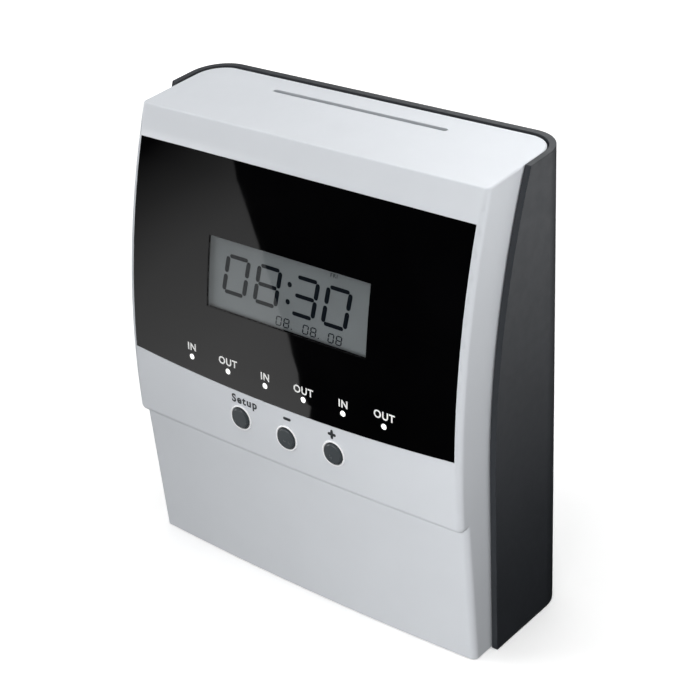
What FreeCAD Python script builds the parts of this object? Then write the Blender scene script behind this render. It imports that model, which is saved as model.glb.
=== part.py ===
"""Punch time clock: a card time recorder with a swing-up front cover.

Frame: +Z up, the front faces -Y, and the origin is under the middle of the clock,
on the surface that it stands on.  Millimetres and degrees.
"""
import FreeCAD, Part
import math
import os
import re
import Sketcher
from FreeCAD import Placement, Rotation, Vector

doc = FreeCAD.newDocument("PunchTimeClock")
dim = doc.addObject("Spreadsheet::Sheet", "Dim")

# Driving dimensions: alias, value, meaning.
SIZES = [
    # overall
    ("HousingWide", 186.6, "rear housing over its sides"),
    ("Deep", 74, "rear face to the button caps"),
    ("TotalHigh", 211, "highest point, at the rear"),
    ("TopSlope", 4, "fall of the top towards the front, degrees"),
    ("ArcFoot", 84, "height where the curved front and the side seam turn upright"),
    # front cover
    ("CoverWall", 3, "front cover wall"),
    ("SideGap", 0.5, "cover side to housing wall"),
    ("RearGap", 0.8, "cover top to the housing's rear wall"),
    ("RimProud", 0.4, "housing rim above the cover top"),
    ("FrontSetback", 21.9, "top front edge behind the foremost line"),
    ("CornerRound", 2.6, "cover's upright front edges"),
    ("TopRound", 0.8, "edges of the cover top"),
    ("StepHigh", 66.3, "underside of the overhang at the corners"),
    ("StepSag", 1.5, "dip of the overhang at the middle"),
    ("StepRound", 3, "rounding of the overhang's lip"),
    ("StepDeep", 4, "overhang at the corners"),
    ("ApronRake", 4.2, "lower front set back at its foot"),
    ("ApronCrown", 2.6, "lower front bulge at the middle"),
    ("SlotLong", 91, "card slot length"),
    ("SlotWide", 2.4, "card slot opening"),
    ("SlotLip", 9, "depth of the lips under the slot"),
    ("SlotLipWall", 1.6, "wall of those lips"),
    # panel and window
    ("PanelMargin", 2.8, "cover shown beside the panel"),
    ("PanelDrop", 13.3, "cover shown above the panel"),
    ("PanelFoot", 100, "panel bottom at its corners"),
    ("PanelSag", 4.6, "dip of the panel bottom at the middle"),
    ("PanelThick", 1.5, "panel sheet"),
    ("PanelFit", 0.15, "clearance round the panel"),
    ("WindowWide", 86, "display window width"),
    ("WindowHigh", 30.8, "display window height"),
    ("WindowDrop", 47.5, "panel top to the window's middle"),
    ("WindowThick", 1.1, "window lens"),
    ("WindowSink", 0.25, "lens below the panel face"),
    # lights and buttons
    ("LightPitch", 21.1, "spacing of the indicator lights"),
    ("LightHigh", 103.1, "height of the arc of indicator lights at its middle"),
    ("LightArcRise", 1.35, "rise of the outermost lights on that arc"),
    ("LightRad", 1.3, "indicator light radius"),
    ("ButtonPitch", 25.8, "spacing of the buttons"),
    ("ButtonHigh", 82.9, "height of the buttons"),
    ("ButtonSag", 1.4, "middle button below the outer ones"),
    ("ButtonHoleRad", 5.1, "button hole radius"),
    ("ButtonFit", 0.3, "clearance round a button cap"),
    ("ButtonProud", 1.2, "cap in front of the cover"),
    ("ButtonFlange", 1.4, "flange beyond the button hole"),
    ("ButtonStemRad", 2, "button stem radius"),
    ("ButtonStem", 1, "stem behind the flange"),
    # rear housing
    ("HousingWall", 2.8, "rear housing wall"),
    ("HousingFloor", 3, "rear housing floor"),
    ("HousingRound", 16, "rear upright edges"),
    ("SeamBack", 53.3, "rear face to the side seam"),
    ("SeamSetback", 25, "seam top behind its foot"),
    ("SeamLap", 4, "cover side wall inside the housing wall"),
    ("FloorFit", 0.6, "floor edge to the cover"),
    ("KeyholeSpan", 150, "spacing of the wall keyholes"),
    ("KeyholeHigh", 150, "height of the keyholes' round ends"),
    ("KeyholeRad", 4.5, "keyhole round end radius"),
    ("KeySlotRad", 2.2, "keyhole slot half width"),
    ("KeySlotRise", 9, "keyhole slot length"),
    # cover hinge
    ("HingeBack", 23.5, "rear face to the hinge axis"),
    ("HingeDrop", 4.2, "cover top to the hinge axis"),
    ("PinRad", 1.5, "hinge pin radius"),
    ("PinLap", 2, "hinge pin inside the housing wall"),
    ("PinBoss", 5, "pin boss inside the cover wall"),
    ("PinBossRad", 3.6, "pin boss radius"),
    ("RunFit", 0.05, "running clearance on a radius"),
    # chassis
    ("ChassisWide", 132, "over the chassis side plates"),
    ("SheetThick", 1.2, "chassis steel sheet"),
    ("ChassisFoot", 8, "chassis bottom edge"),
    ("ChassisDrop", 23, "hinge axis to the chassis top"),
    ("ChassisBack", 5.8, "rear face to the chassis back plate"),
    ("ChassisReach", 38, "side plates in front of the card plane, above"),
    ("ChassisNose", 20, "side plates in front of the card plane, below"),
    ("PostRad", 4, "housing post radius"),
    ("PostSpan", 100, "spacing of the chassis screws across"),
    ("PostLow", 24, "height of the lower chassis screws"),
    ("PostHigh", 160, "height of the upper chassis screws"),
    ("ScrewRad", 1.5, "screw thread radius"),
    ("ScrewHeadRad", 2.8, "screw head radius"),
    ("ScrewHead", 1.8, "screw head height"),
    ("ScrewLong", 3.8, "screw length under the head"),
    # card guide
    ("CardBack", 15.6, "rear face to the card plane"),
    ("CardGap", 1.8, "gap that the card runs in"),
    ("GuideThick", 1.2, "guide plate thickness"),
    ("GuideWide", 96, "guide plates over all"),
    ("GuideFoot", 14, "guide bottom"),
    ("GuideFlare", 4, "mouth flare each way"),
    ("CardStopThick", 2, "floor of the card channel"),
    ("BandLow", 102, "bottom of the open print band"),
    ("BandHigh", 121, "top of the open print band"),
    # card feed
    ("FeedHigh", 72, "height of the feed rollers"),
    ("FeedShaftRad", 2.5, "feed shaft radius"),
    ("FeedRollerRad", 7.3, "feed roller radius"),
    ("FeedRollerLong", 10, "feed roller length"),
    ("FeedPitch", 56, "spacing of the two feed rollers"),
    ("RollerPlay", 0.2, "roller to the middle of the card"),
    ("GearTeethBig", 36, "feed gear teeth"),
    ("GearTeethSmall", 12, "motor pinion teeth"),
    ("GearModule", 1, "gear module"),
    ("GearFace", 4, "gear face width"),
    ("GearPlay", 0.15, "extra centre distance of the gears"),
    ("GearRake", 25, "motor below the feed shaft, degrees"),
    ("MotorRad", 16, "feed motor can radius"),
    ("MotorLong", 20, "feed motor can length"),
    ("BushRad", 4.5, "feed bush radius"),
    ("BushFlange", 1.2, "feed bush flange"),
    ("PinchRad", 3.3, "pinch roller radius"),
    ("PinchAxleRad", 1.25, "pinch axle radius"),
    ("PinchRise", 16, "pinch pivot above the rollers"),
    ("PinchOffset", 1.6, "pinch pivot behind the axle"),
    ("PinchSheet", 1, "pinch lever sheet"),
    ("SpringThick", 0.4, "pinch leaf spring thickness"),
    ("SpringGap", 0.9, "leaf spring to the lever, as if pressed"),
    # printing
    ("PrintHigh", 112, "height of the print line"),
    ("RodRad", 2.5, "carriage rod radius"),
    ("RodHigh", 98, "height of the carriage rods"),
    ("RodFront", 31, "front rod ahead of the card plane"),
    ("RodRear", 13, "rear rod ahead of the card plane"),
    ("CarriageWide", 28, "carriage width"),
    ("CarriageHigh", 9, "carriage height"),
    ("HeadWide", 24, "print head width"),
    ("HeadHigh", 16, "print head height"),
    ("NoseTip", 1.2, "print head tip ahead of the card plane"),
    ("NoseWide", 8, "print head nose width"),
    ("NoseHigh", 8, "print head nose height"),
    ("PulleyRad", 6, "belt pulley radius"),
    ("PulleyHigh", 6, "belt pulley height"),
    ("FlangeLip", 0.2, "pulley flange beyond its rim"),
    ("SpindleRad", 1.5, "motor spindles and the idler's pin"),
    ("PulleyPitch", 100, "spacing of the belt pulleys"),
    ("BeltBase", 88.5, "underside of the pulleys"),
    ("BeltThick", 1.2, "belt thickness"),
    ("BeltHigh", 4, "belt height"),
    ("BeltGap", 0.3, "belt to pulley"),
    ("BeltFront", 25.4, "pulley axes ahead of the card plane"),
    ("BeltMotorRad", 12, "carriage motor radius"),
    ("BeltMotorLong", 18, "carriage motor length"),
    ("PlatenHigh", 12, "platen height"),
    # ribbon cassette
    ("CassetteWide", 120, "ribbon cassette width"),
    ("CassetteDeep", 25, "ribbon cassette depth"),
    ("CassetteHigh", 13, "ribbon cassette height"),
    ("CassetteBase", 122, "ribbon cassette underside"),
    ("CassetteRear", 13, "cassette rear ahead of the card plane"),
    ("CassetteWall", 1.5, "cassette wall"),
    ("ArmWide", 6, "cassette arm width"),
    ("ArmSpan", 102, "over the two cassette arms"),
    ("ArmDrop", 16, "cassette arm below the cassette"),
    ("RibbonHigh", 10, "ribbon height"),
    ("RibbonThick", 0.25, "ribbon thickness"),
    ("RibbonAhead", 0.8, "ribbon ahead of the card plane"),
    ("KnobRad", 7, "ribbon knob radius"),
    ("KnobHigh", 4, "ribbon knob height"),
    ("KnobSide", 38, "ribbon knob beside the middle"),
    ("DriveRollerRad", 4, "ribbon drive roller radius"),
    # display
    ("BoardThick", 1.6, "circuit board thickness"),
    ("BoardWide", 140, "display board width"),
    ("BoardRise", 42, "display board above the window's middle"),
    ("BoardFall", 5.86, "display board below the middle lights"),
    ("BoardDeep", 8, "panel face to the display board"),
    ("BracketGap", 3, "display board to its bracket"),
    ("BracketThick", 2, "display bracket thickness"),
    ("LcdThick", 2.6, "display glass thickness"),
    ("LcdSink", 2.4, "panel face to the display glass"),
    ("LcdBorder", 2.8, "display glass beyond the window"),
    ("ButtonBoardWide", 76, "button board width"),
    ("ButtonBoardHigh", 18, "button board height"),
    ("ButtonBoardDeep", 9.2, "foremost line to the button board"),
    ("MatThick", 1, "keypad mat thickness"),
    ("DomeHigh", 0.9, "keypad dome height"),
    ("DomeRad", 3.2, "keypad dome radius"),
    # electronics in the foot
    ("MainBoardWide", 88, "main board width"),
    ("MainBoardHigh", 44, "main board height"),
    ("MainBoardBase", 8, "main board bottom edge"),
    ("MainBoardLeft", 60, "main board's left edge from the middle"),
    ("MainBoardAhead", 39, "main board ahead of the card plane"),
    ("CoreWide", 41, "transformer core width"),
    ("CoreHigh", 34, "transformer core height"),
    ("CoreDeep", 15, "transformer core depth"),
    ("CoreSide", 42, "transformer beside the middle"),
    ("CoreAhead", 22, "transformer ahead of the card plane"),
    ("CellRad", 7, "backup cell radius"),
    ("CellLong", 42, "backup battery length"),
    ("InletWide", 24, "power inlet width"),
    ("InletHigh", 18, "power inlet height"),
    ("InletLong", 13, "power inlet depth"),
    ("InletSide", 30, "power inlet beside the middle"),
    ("InletBase", 14, "power inlet above the base"),
    ("SocketWide", 16, "plug socket width"),
    ("SocketHigh", 8, "plug socket height"),
    ("SocketDeep", 10, "plug socket depth"),
]
for row, (alias, value, meaning) in enumerate(SIZES, start=1):
    dim.set(f"A{row}", alias)
    dim.set(f"B{row}", str(value))
    dim.set(f"C{row}", meaning)
    dim.setAlias(f"B{row}", alias)
doc.recompute()
ALIASES = {alias for alias, value, meaning in SIZES}

# Places worked out from the sizes, as expression text.
REAR = "(Deep/2)"
FRONT = "(ButtonProud-Deep/2)"
CARD = f"({REAR}-CardBack)"
COVER_HALF = "(HousingWide/2-HousingWall-SideGap)"
COVER_REAR = f"({REAR}-HousingWall-RearGap)"
SEAM = f"({REAR}-SeamBack)"
HINGE_Y = f"({REAR}-HingeBack)"
CHASSIS_Y = f"({REAR}-ChassisBack)"
PLATE_HALF = "(ChassisWide/2)"
OVERSIZE = "(HousingWide+TotalHigh)"


def top_at(y):
    """Height of the cover's sloping top at the depth y."""
    return f"(TotalHigh-RimProud-({REAR}-({y}))*tan(TopSlope))"


TOP_FRONT = top_at(f"{FRONT}+FrontSetback")
HINGE_Z = f"({top_at(HINGE_Y)}-HingeDrop)"
CHASSIS_TOP = f"({HINGE_Z}-ChassisDrop)"
PANEL_TOP = f"({TOP_FRONT}-PanelDrop)"
WINDOW_Z = f"({PANEL_TOP}-WindowDrop)"
FACE_RAD = f"((({TOP_FRONT}-ArcFoot)^2+FrontSetback^2)/(2*FrontSetback))"
SEAM_TOP = f"(TotalHigh-({REAR}-({SEAM}+SeamSetback))*tan(TopSlope))"
SEAM_RAD = f"((({SEAM_TOP}-ArcFoot)^2+SeamSetback^2)/(2*SeamSetback))"
GEAR_CENTRES = "((GearTeethBig+GearTeethSmall)*GearModule/2+GearPlay)"
FEED_Y = f"({CARD}-RollerPlay-FeedRollerRad)"
MOTOR_Y = f"({FEED_Y}-{GEAR_CENTRES}*cos(GearRake))"
MOTOR_Z = f"(FeedHigh-{GEAR_CENTRES}*sin(GearRake))"
PINCH_Y = f"({CARD}+RollerPlay+PinchRad)"
PINCH_PIVOT_Y = f"({PINCH_Y}+PinchOffset)"
PINCH_PIVOT_Z = "(FeedHigh+PinchRise)"
PULLEY_Y = f"({CARD}-BeltFront)"
GUIDE_FRONT = f"({CARD}-CardGap/2)"
GUIDE_REAR = f"({CARD}+CardGap/2)"
BUTTONS = (("setup_button", "-ButtonPitch", "ButtonHigh"),
           ("minus_button", "0", "(ButtonHigh-ButtonSag)"),
           ("plus_button", "ButtonPitch", "ButtonHigh"))
LIGHT_STEPS = (-2.5, -1.5, -0.5, 0.5, 1.5, 2.5)


def light_high(step):
    """Height of the indicator light that is step pitches from the middle."""
    return f"(LightHigh+LightArcRise*({step})^2/{LIGHT_STEPS[-1]}^2)"


def face_at(z, depth="0"):
    """Depth of the curved front at the height z, set in by depth."""
    radius = f"({FACE_RAD}-{depth})"
    return f"({FRONT}+{FACE_RAD}-sqrt({radius}^2-({z}-ArcFoot)^2))"


def seam_at(z, lap="0"):
    """Depth of the side seam at the height z, moved back by lap."""
    return f"({SEAM}+{lap}+{SEAM_RAD}-sqrt({SEAM_RAD}^2-({z}-ArcFoot)^2))"


BOARD_LOW = f"({WINDOW_Z}-LightHigh+BoardFall)"
TILT = (f"atan(({face_at(WINDOW_Z + '+BoardRise')}-{face_at(WINDOW_Z + '-' + BOARD_LOW)})"
        f"/(BoardRise+{BOARD_LOW}))")


def bound(text):
    """Expression text with the sheet's name put before each alias."""
    def name(match):
        word = match.group(0)
        return "Dim." + word if word in ALIASES else word
    return re.sub(r"[A-Za-z_]\w*", name, str(text))


def number(text):
    """The value that an expression has now."""
    result = dim.evalExpression(bound(text))
    return float(getattr(result, "Value", result))


# ---------------------------------------------------------------- helpers
TURNS = {"x": Rotation(Vector(0, 1, 0), 90),
         "y": Rotation(Vector(1, 0, 0), -90),
         "z": Rotation()}
SKETCH_TURNS = {"XY": Rotation(),
                "XZ": Rotation(Vector(1, 0, 0), 90),
                "YZ": Rotation(0.5, 0.5, 0.5, 0.5)}
parts = []


def place(item, x="0", y="0", z="0"):
    """Bind an object's position."""
    for axis, text in zip("xyz", (x, y, z)):
        item.setExpression(f"Placement.Base.{axis}", bound(text))
    return item


def box(name, x, y, z):
    """A block between two expressions along each axis."""
    item = doc.addObject("Part::Box", name)
    for side, (low, high) in zip(("Length", "Width", "Height"), (x, y, z)):
        item.setExpression(side, bound(f"({high})-({low})"))
    return place(item, x[0], y[0], z[0])


def wide_box(name, half, y, z):
    """A block centred across the clock."""
    return box(name, (f"-({half})", half), y, z)


def rod(name, radius, axis, start, end, across, up):
    """A cylinder along an axis; across and up place it in the other two, in x, y, z order."""
    item = doc.addObject("Part::Cylinder", name)
    item.setExpression("Radius", bound(radius))
    item.setExpression("Height", bound(f"({end})-({start})"))
    item.Placement = Placement(Vector(), TURNS[axis])
    spots = {"x": (start, across, up), "y": (across, start, up), "z": (across, up, start)}
    return place(item, *spots[axis])


def fuse(name, *items):
    """One solid of several."""
    item = doc.addObject("Part::MultiFuse", name)
    item.Shapes = list(items)
    item.Refine = True
    return item


def group(name, *items):
    """Separate solids that share a node."""
    item = doc.addObject("Part::Compound", name)
    item.Links = list(items)
    return item


def cut(name, base, *tools):
    """The base less its tools."""
    item = doc.addObject("Part::Cut", name)
    item.Base = base
    item.Tool = tools[0] if len(tools) == 1 else fuse(f"{name}_tools", *tools)
    item.Refine = True
    return item


def common(name, first, second):
    """What two solids share."""
    item = doc.addObject("Part::Common", name)
    item.Base = first
    item.Tool = second
    return item


def mirrored(name, source):
    """The same solid on the other side of the clock."""
    item = doc.addObject("Part::Mirroring", name)
    item.Source = source
    item.Normal = Vector(1, 0, 0)
    return item


def both_sides(name, source):
    """A piece and its mirror image."""
    return fuse(name, source, mirrored(f"{name}_other", source))


def arc_middle(start, end, radius):
    """Middle point of the minor arc; a negative radius bulges to the left."""
    chord = end - start
    half = chord.Length / 2
    left = Vector(-chord.y, chord.x, 0).normalize()
    side = 1 if radius > 0 else -1
    centre = (start + end) * 0.5 + left * side * math.sqrt(max(radius * radius - half * half, 0))
    return centre - left * side * abs(radius)


def draw(sketch, corners, arcs):
    """Close an outline through corners bound to the sheet; arcs gives some sides a radius."""
    points = [Vector(number(u), number(v), 0) for u, v in corners]
    count = len(points)
    ends = []
    for side in range(count):
        start, end = points[side], points[(side + 1) % count]
        radius = number(arcs[side]) if side in arcs else 0
        # The sketcher wants every arc anticlockwise, so a clockwise one is drawn backwards.
        if radius < 0:
            sketch.addGeometry(Part.Arc(end, arc_middle(start, end, radius), start))
        elif radius > 0:
            sketch.addGeometry(Part.Arc(start, arc_middle(start, end, radius), end))
        else:
            sketch.addGeometry(Part.LineSegment(start, end))
        ends.append((2, 1) if radius < 0 else (1, 2))
    for side in range(count):
        after = (side + 1) % count
        sketch.addConstraint(Sketcher.Constraint("Coincident", side, ends[side][1],
                                                 after, ends[after][0]))
    for side, (u, v) in enumerate(corners):
        for kind, text, value in (("DistanceX", u, points[side].x),
                                  ("DistanceY", v, points[side].y)):
            index = sketch.addConstraint(Sketcher.Constraint(
                kind, -1, 1, side, ends[side][0], value))
            sketch.setExpression(f"Constraints[{index}]", bound(text))
    for side, radius in arcs.items():
        value = abs(number(radius))
        index = sketch.addConstraint(Sketcher.Constraint("Radius", side, value))
        sketch.setExpression(f"Constraints[{index}]", bound(f"abs({radius})"))


def prism(name, plane, corners, low, high, arcs=None):
    """An outline drawn in a plane and pushed from low to high along the third axis."""
    sketch = doc.addObject("Sketcher::SketchObject", f"{name}_outline")
    sketch.Placement = Placement(Vector(), SKETCH_TURNS[plane])
    draw(sketch, corners, arcs or {})
    axis = {"XY": "z", "XZ": "y", "YZ": "x"}[plane]
    start = high if plane == "XZ" else low
    place(sketch, **{axis: start})
    item = doc.addObject("Part::Extrusion", name)
    item.Base = sketch
    item.DirMode = "Normal"
    item.Solid = True
    item.setExpression("LengthFwd", bound(f"({high})-({low})"))
    return item


def rounded(name, base, radius, chosen):
    """Fillet the edges that the test chooses."""
    doc.recompute()
    size = number(radius)
    item = doc.addObject("Part::Fillet", name)
    item.Base = base
    item.Edges = [(index, size, size)
                  for index, edge in enumerate(base.Shape.Edges, start=1) if chosen(edge)]
    return item


def upright(edge):
    """True for an edge that runs mostly upwards."""
    first, last = edge.Vertexes[0].Point, edge.Vertexes[-1].Point
    return abs(last.z - first.z) > 4 * math.hypot(last.x - first.x, last.y - first.y)


def part(node, item):
    """Name a finished sub-part."""
    item.Label = node
    parts.append(item)
    return item


def screw(name, tip, direction, x, y, z):
    """A pan-head screw whose head seats at x, y, z and whose thread runs along y."""
    if direction > 0:
        thread = rod(f"{name}_thread", "ScrewRad", "y", y, f"{y}+{tip}", x, z)
        head = rod(f"{name}_head", "ScrewHeadRad", "y", f"{y}-ScrewHead", y, x, z)
    else:
        thread = rod(f"{name}_thread", "ScrewRad", "y", f"{y}-{tip}", y, x, z)
        head = rod(f"{name}_head", "ScrewHeadRad", "y", y, f"{y}+ScrewHead", x, z)
    return fuse(name, thread, head)


def lean(item):
    """Carry a piece drawn square to the window's middle over to the leaning display."""
    carrier = group(f"{item.Name}_leaning", item)
    carrier.Placement = Placement(Vector(), Rotation(Vector(-1, 0, 0), number(TILT)))
    carrier.setExpression("Placement.Rotation.Angle", bound(TILT))
    return place(carrier, y=face_at(WINDOW_Z), z=WINDOW_Z)


# ---------------------------------------------------------------- rear housing
def housing_block(name, half, foot, rear, top_drop, corner):
    """The housing's outline from the side, with its two rear edges rounded."""
    seam_y = f"{SEAM}+SeamSetback"
    top_rear = f"TotalHigh-({REAR}-({rear}))*tan(TopSlope)+{top_drop}"
    if foot == "0":
        corners = [(SEAM, foot), (rear, foot), (rear, top_rear), (seam_y, SEAM_TOP),
                   (SEAM, "ArcFoot")]
        block = prism(f"{name}_block", "YZ", corners, f"-{half}", half, {3: SEAM_RAD})
    else:
        corners = [(f"-{OVERSIZE}", foot), (rear, foot), (rear, OVERSIZE),
                   (f"-{OVERSIZE}", OVERSIZE)]
        block = prism(f"{name}_block", "YZ", corners, f"-{half}", half)
    limit = number(rear) - 0.01
    return rounded(name, block, corner,
                   lambda edge: upright(edge) and edge.CenterOfMass.y > limit)


def apron(name, inset, low, high):
    """The lower front: raked, with a bulge that is an arc in plan."""
    half = f"({COVER_HALF}-({inset}))"
    back = f"{SEAM}+SeamLap"
    sections = []
    for level in (low, high):
        depth = f"({FRONT}+StepDeep+ApronRake*(1-({level})/StepHigh)+({inset}))"
        radius = f"(({half}^2+ApronCrown^2)/(2*ApronCrown))"
        corners = [(f"-{half}", depth), (half, depth), (half, back), (f"-{half}", back)]
        sketch = doc.addObject("Sketcher::SketchObject", f"{name}_plan{len(sections)}")
        draw(sketch, corners, {0: radius})
        place(sketch, z=level)
        sections.append(sketch)
    item = doc.addObject("Part::Loft", name)
    item.Sections = sections
    item.Solid = True
    item.Ruled = True
    return item


def make_housing():
    """Dark rear shell: back, side walls, floor, posts for the chassis and keyholes."""
    outer = housing_block("housing_outer", "(HousingWide/2)", "0", REAR, "0", "HousingRound")
    cavity = housing_block("housing_cavity", "(HousingWide/2-HousingWall)", "HousingFloor",
                           f"({REAR}-HousingWall)", "0", "HousingRound-HousingWall")
    shell = cut("housing_shell", outer, cavity)
    tongue = apron("floor_tongue", "CoverWall+FloorFit", "0", "HousingFloor")
    lap_relief = both_sides("lap_relief", box(
        "lap_slot", (f"{COVER_HALF}-CoverWall-FloorFit", "HousingWide/2-HousingWall"),
        (f"{SEAM}-1", f"{SEAM}+SeamLap+FloorFit"), ("-1", "HousingFloor+1")))
    posts = []
    for side in (-1, 1):
        for level in ("PostLow", "PostHigh"):
            name = f"post_{level}_{side + 1}"
            posts.append(rod(name, "PostRad", "y", f"{CHASSIS_Y}+SheetThick",
                             f"{REAR}-HousingWall/2", f"{side}*PostSpan/2", level))
    solid = cut("housing_with_lap", fuse("housing_solid", shell, tongue, *posts), lap_relief)
    holes = []
    for side in (-1, 1):
        for level in ("PostLow", "PostHigh"):
            holes.append(rod(f"post_hole_{level}_{side + 1}", "ScrewRad", "y",
                             CHASSIS_Y, f"{CHASSIS_Y}+ScrewLong",
                             f"{side}*PostSpan/2", level))
    key_y = (f"{REAR}-2*HousingWall", f"{REAR}+1")
    round_end = rod("keyhole_round", "KeyholeRad", "y", *key_y, "KeyholeSpan/2", "KeyholeHigh")
    slot_end = rod("keyhole_top", "KeySlotRad", "y", *key_y, "KeyholeSpan/2",
                   "KeyholeHigh+KeySlotRise")
    slot = box("keyhole_slot", ("KeyholeSpan/2-KeySlotRad", "KeyholeSpan/2+KeySlotRad"), key_y,
               ("KeyholeHigh", "KeyholeHigh+KeySlotRise"))
    keyholes = both_sides("keyholes", fuse("keyhole", round_end, slot_end, slot))
    pin_hole = rod("pin_hole", "PinRad+RunFit", "x", "HousingWide/2-HousingWall-1",
                   "HousingWide/2-HousingWall+PinLap", HINGE_Y, HINGE_Z)
    inlet_hole = box("inlet_hole", ("InletSide-InletWide/2", "InletSide+InletWide/2"), key_y,
                     ("InletBase", "InletBase+InletHigh"))
    part("rear_housing", cut("housing", solid, *holes, keyholes,
                             both_sides("pin_holes", pin_hole), inlet_hole))


def make_inlet():
    """Mains inlet in the back wall: a moulded socket and its two pins."""
    half = "InletWide/2"
    body = box("inlet_body", (f"InletSide-{half}", f"InletSide+{half}"),
               (f"{REAR}-InletLong", REAR), ("InletBase", "InletBase+InletHigh"))
    middle = "(InletBase+InletHigh/2)"
    reach = "(SocketWide/2-SocketHigh/2)"
    mouth = (f"{REAR}-SocketDeep", f"{REAR}+1")
    left = rod("socket_left", "SocketHigh/2", "y", *mouth, f"InletSide-{reach}", middle)
    right = rod("socket_right", "SocketHigh/2", "y", *mouth, f"InletSide+{reach}", middle)
    bridge = box("socket_bridge", (f"InletSide-{reach}", f"InletSide+{reach}"), mouth,
                 (f"{middle}-SocketHigh/2", f"{middle}+SocketHigh/2"))
    part("power_inlet", cut("inlet", body, left, right, bridge))
    pins = [rod(f"inlet_pin{side + 1}", "1.2", "y", f"{REAR}-SocketDeep", f"{REAR}-2",
                f"InletSide+{side}*{reach}", middle) for side in (-1, 1)]
    part("inlet_pins", group("inlet_contacts", *pins))


# ---------------------------------------------------------------- front cover
def face_band(name, outer, inner, low, high, half):
    """A curved slab that follows the front between two depths."""
    corners = [(face_at(low, outer), low), (face_at(low, inner), low),
               (face_at(high, inner), high), (face_at(high, outer), high)]
    return prism(name, "YZ", corners, f"-({half})", half,
                 {1: f"-({FACE_RAD}-{inner})", 3: f"({FACE_RAD}-{outer})"})


def panel_outline(name, grow):
    """The panel's front view: square above, with an arc below."""
    half = f"({COVER_HALF}-PanelMargin+{grow})"
    foot = f"PanelFoot-{grow}"
    corners = [(f"-{half}", foot), (half, foot), (half, f"{PANEL_TOP}+{grow}"),
               (f"-{half}", f"{PANEL_TOP}+{grow}")]
    radius = f"({half}^2+PanelSag^2)/(2*PanelSag)"
    return prism(name, "XZ", corners, "-Deep", REAR, {0: radius})


def window_block(name, grow):
    """The window's front view, pushed through the front."""
    half = f"WindowWide/2+{grow}"
    return wide_box(name, half, ("-Deep", "0"),
                    (f"{WINDOW_Z}-WindowHigh/2-{grow}", f"{WINDOW_Z}+WindowHigh/2+{grow}"))


def light_rods(name, radius, start, end):
    """Six short rods through the panel, one for each indicator light."""
    return group(name, *[rod(f"{name}{count}", radius, "y", start, end,
                             f"{step}*LightPitch", light_high(step))
                         for count, step in enumerate(LIGHT_STEPS)])


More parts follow.
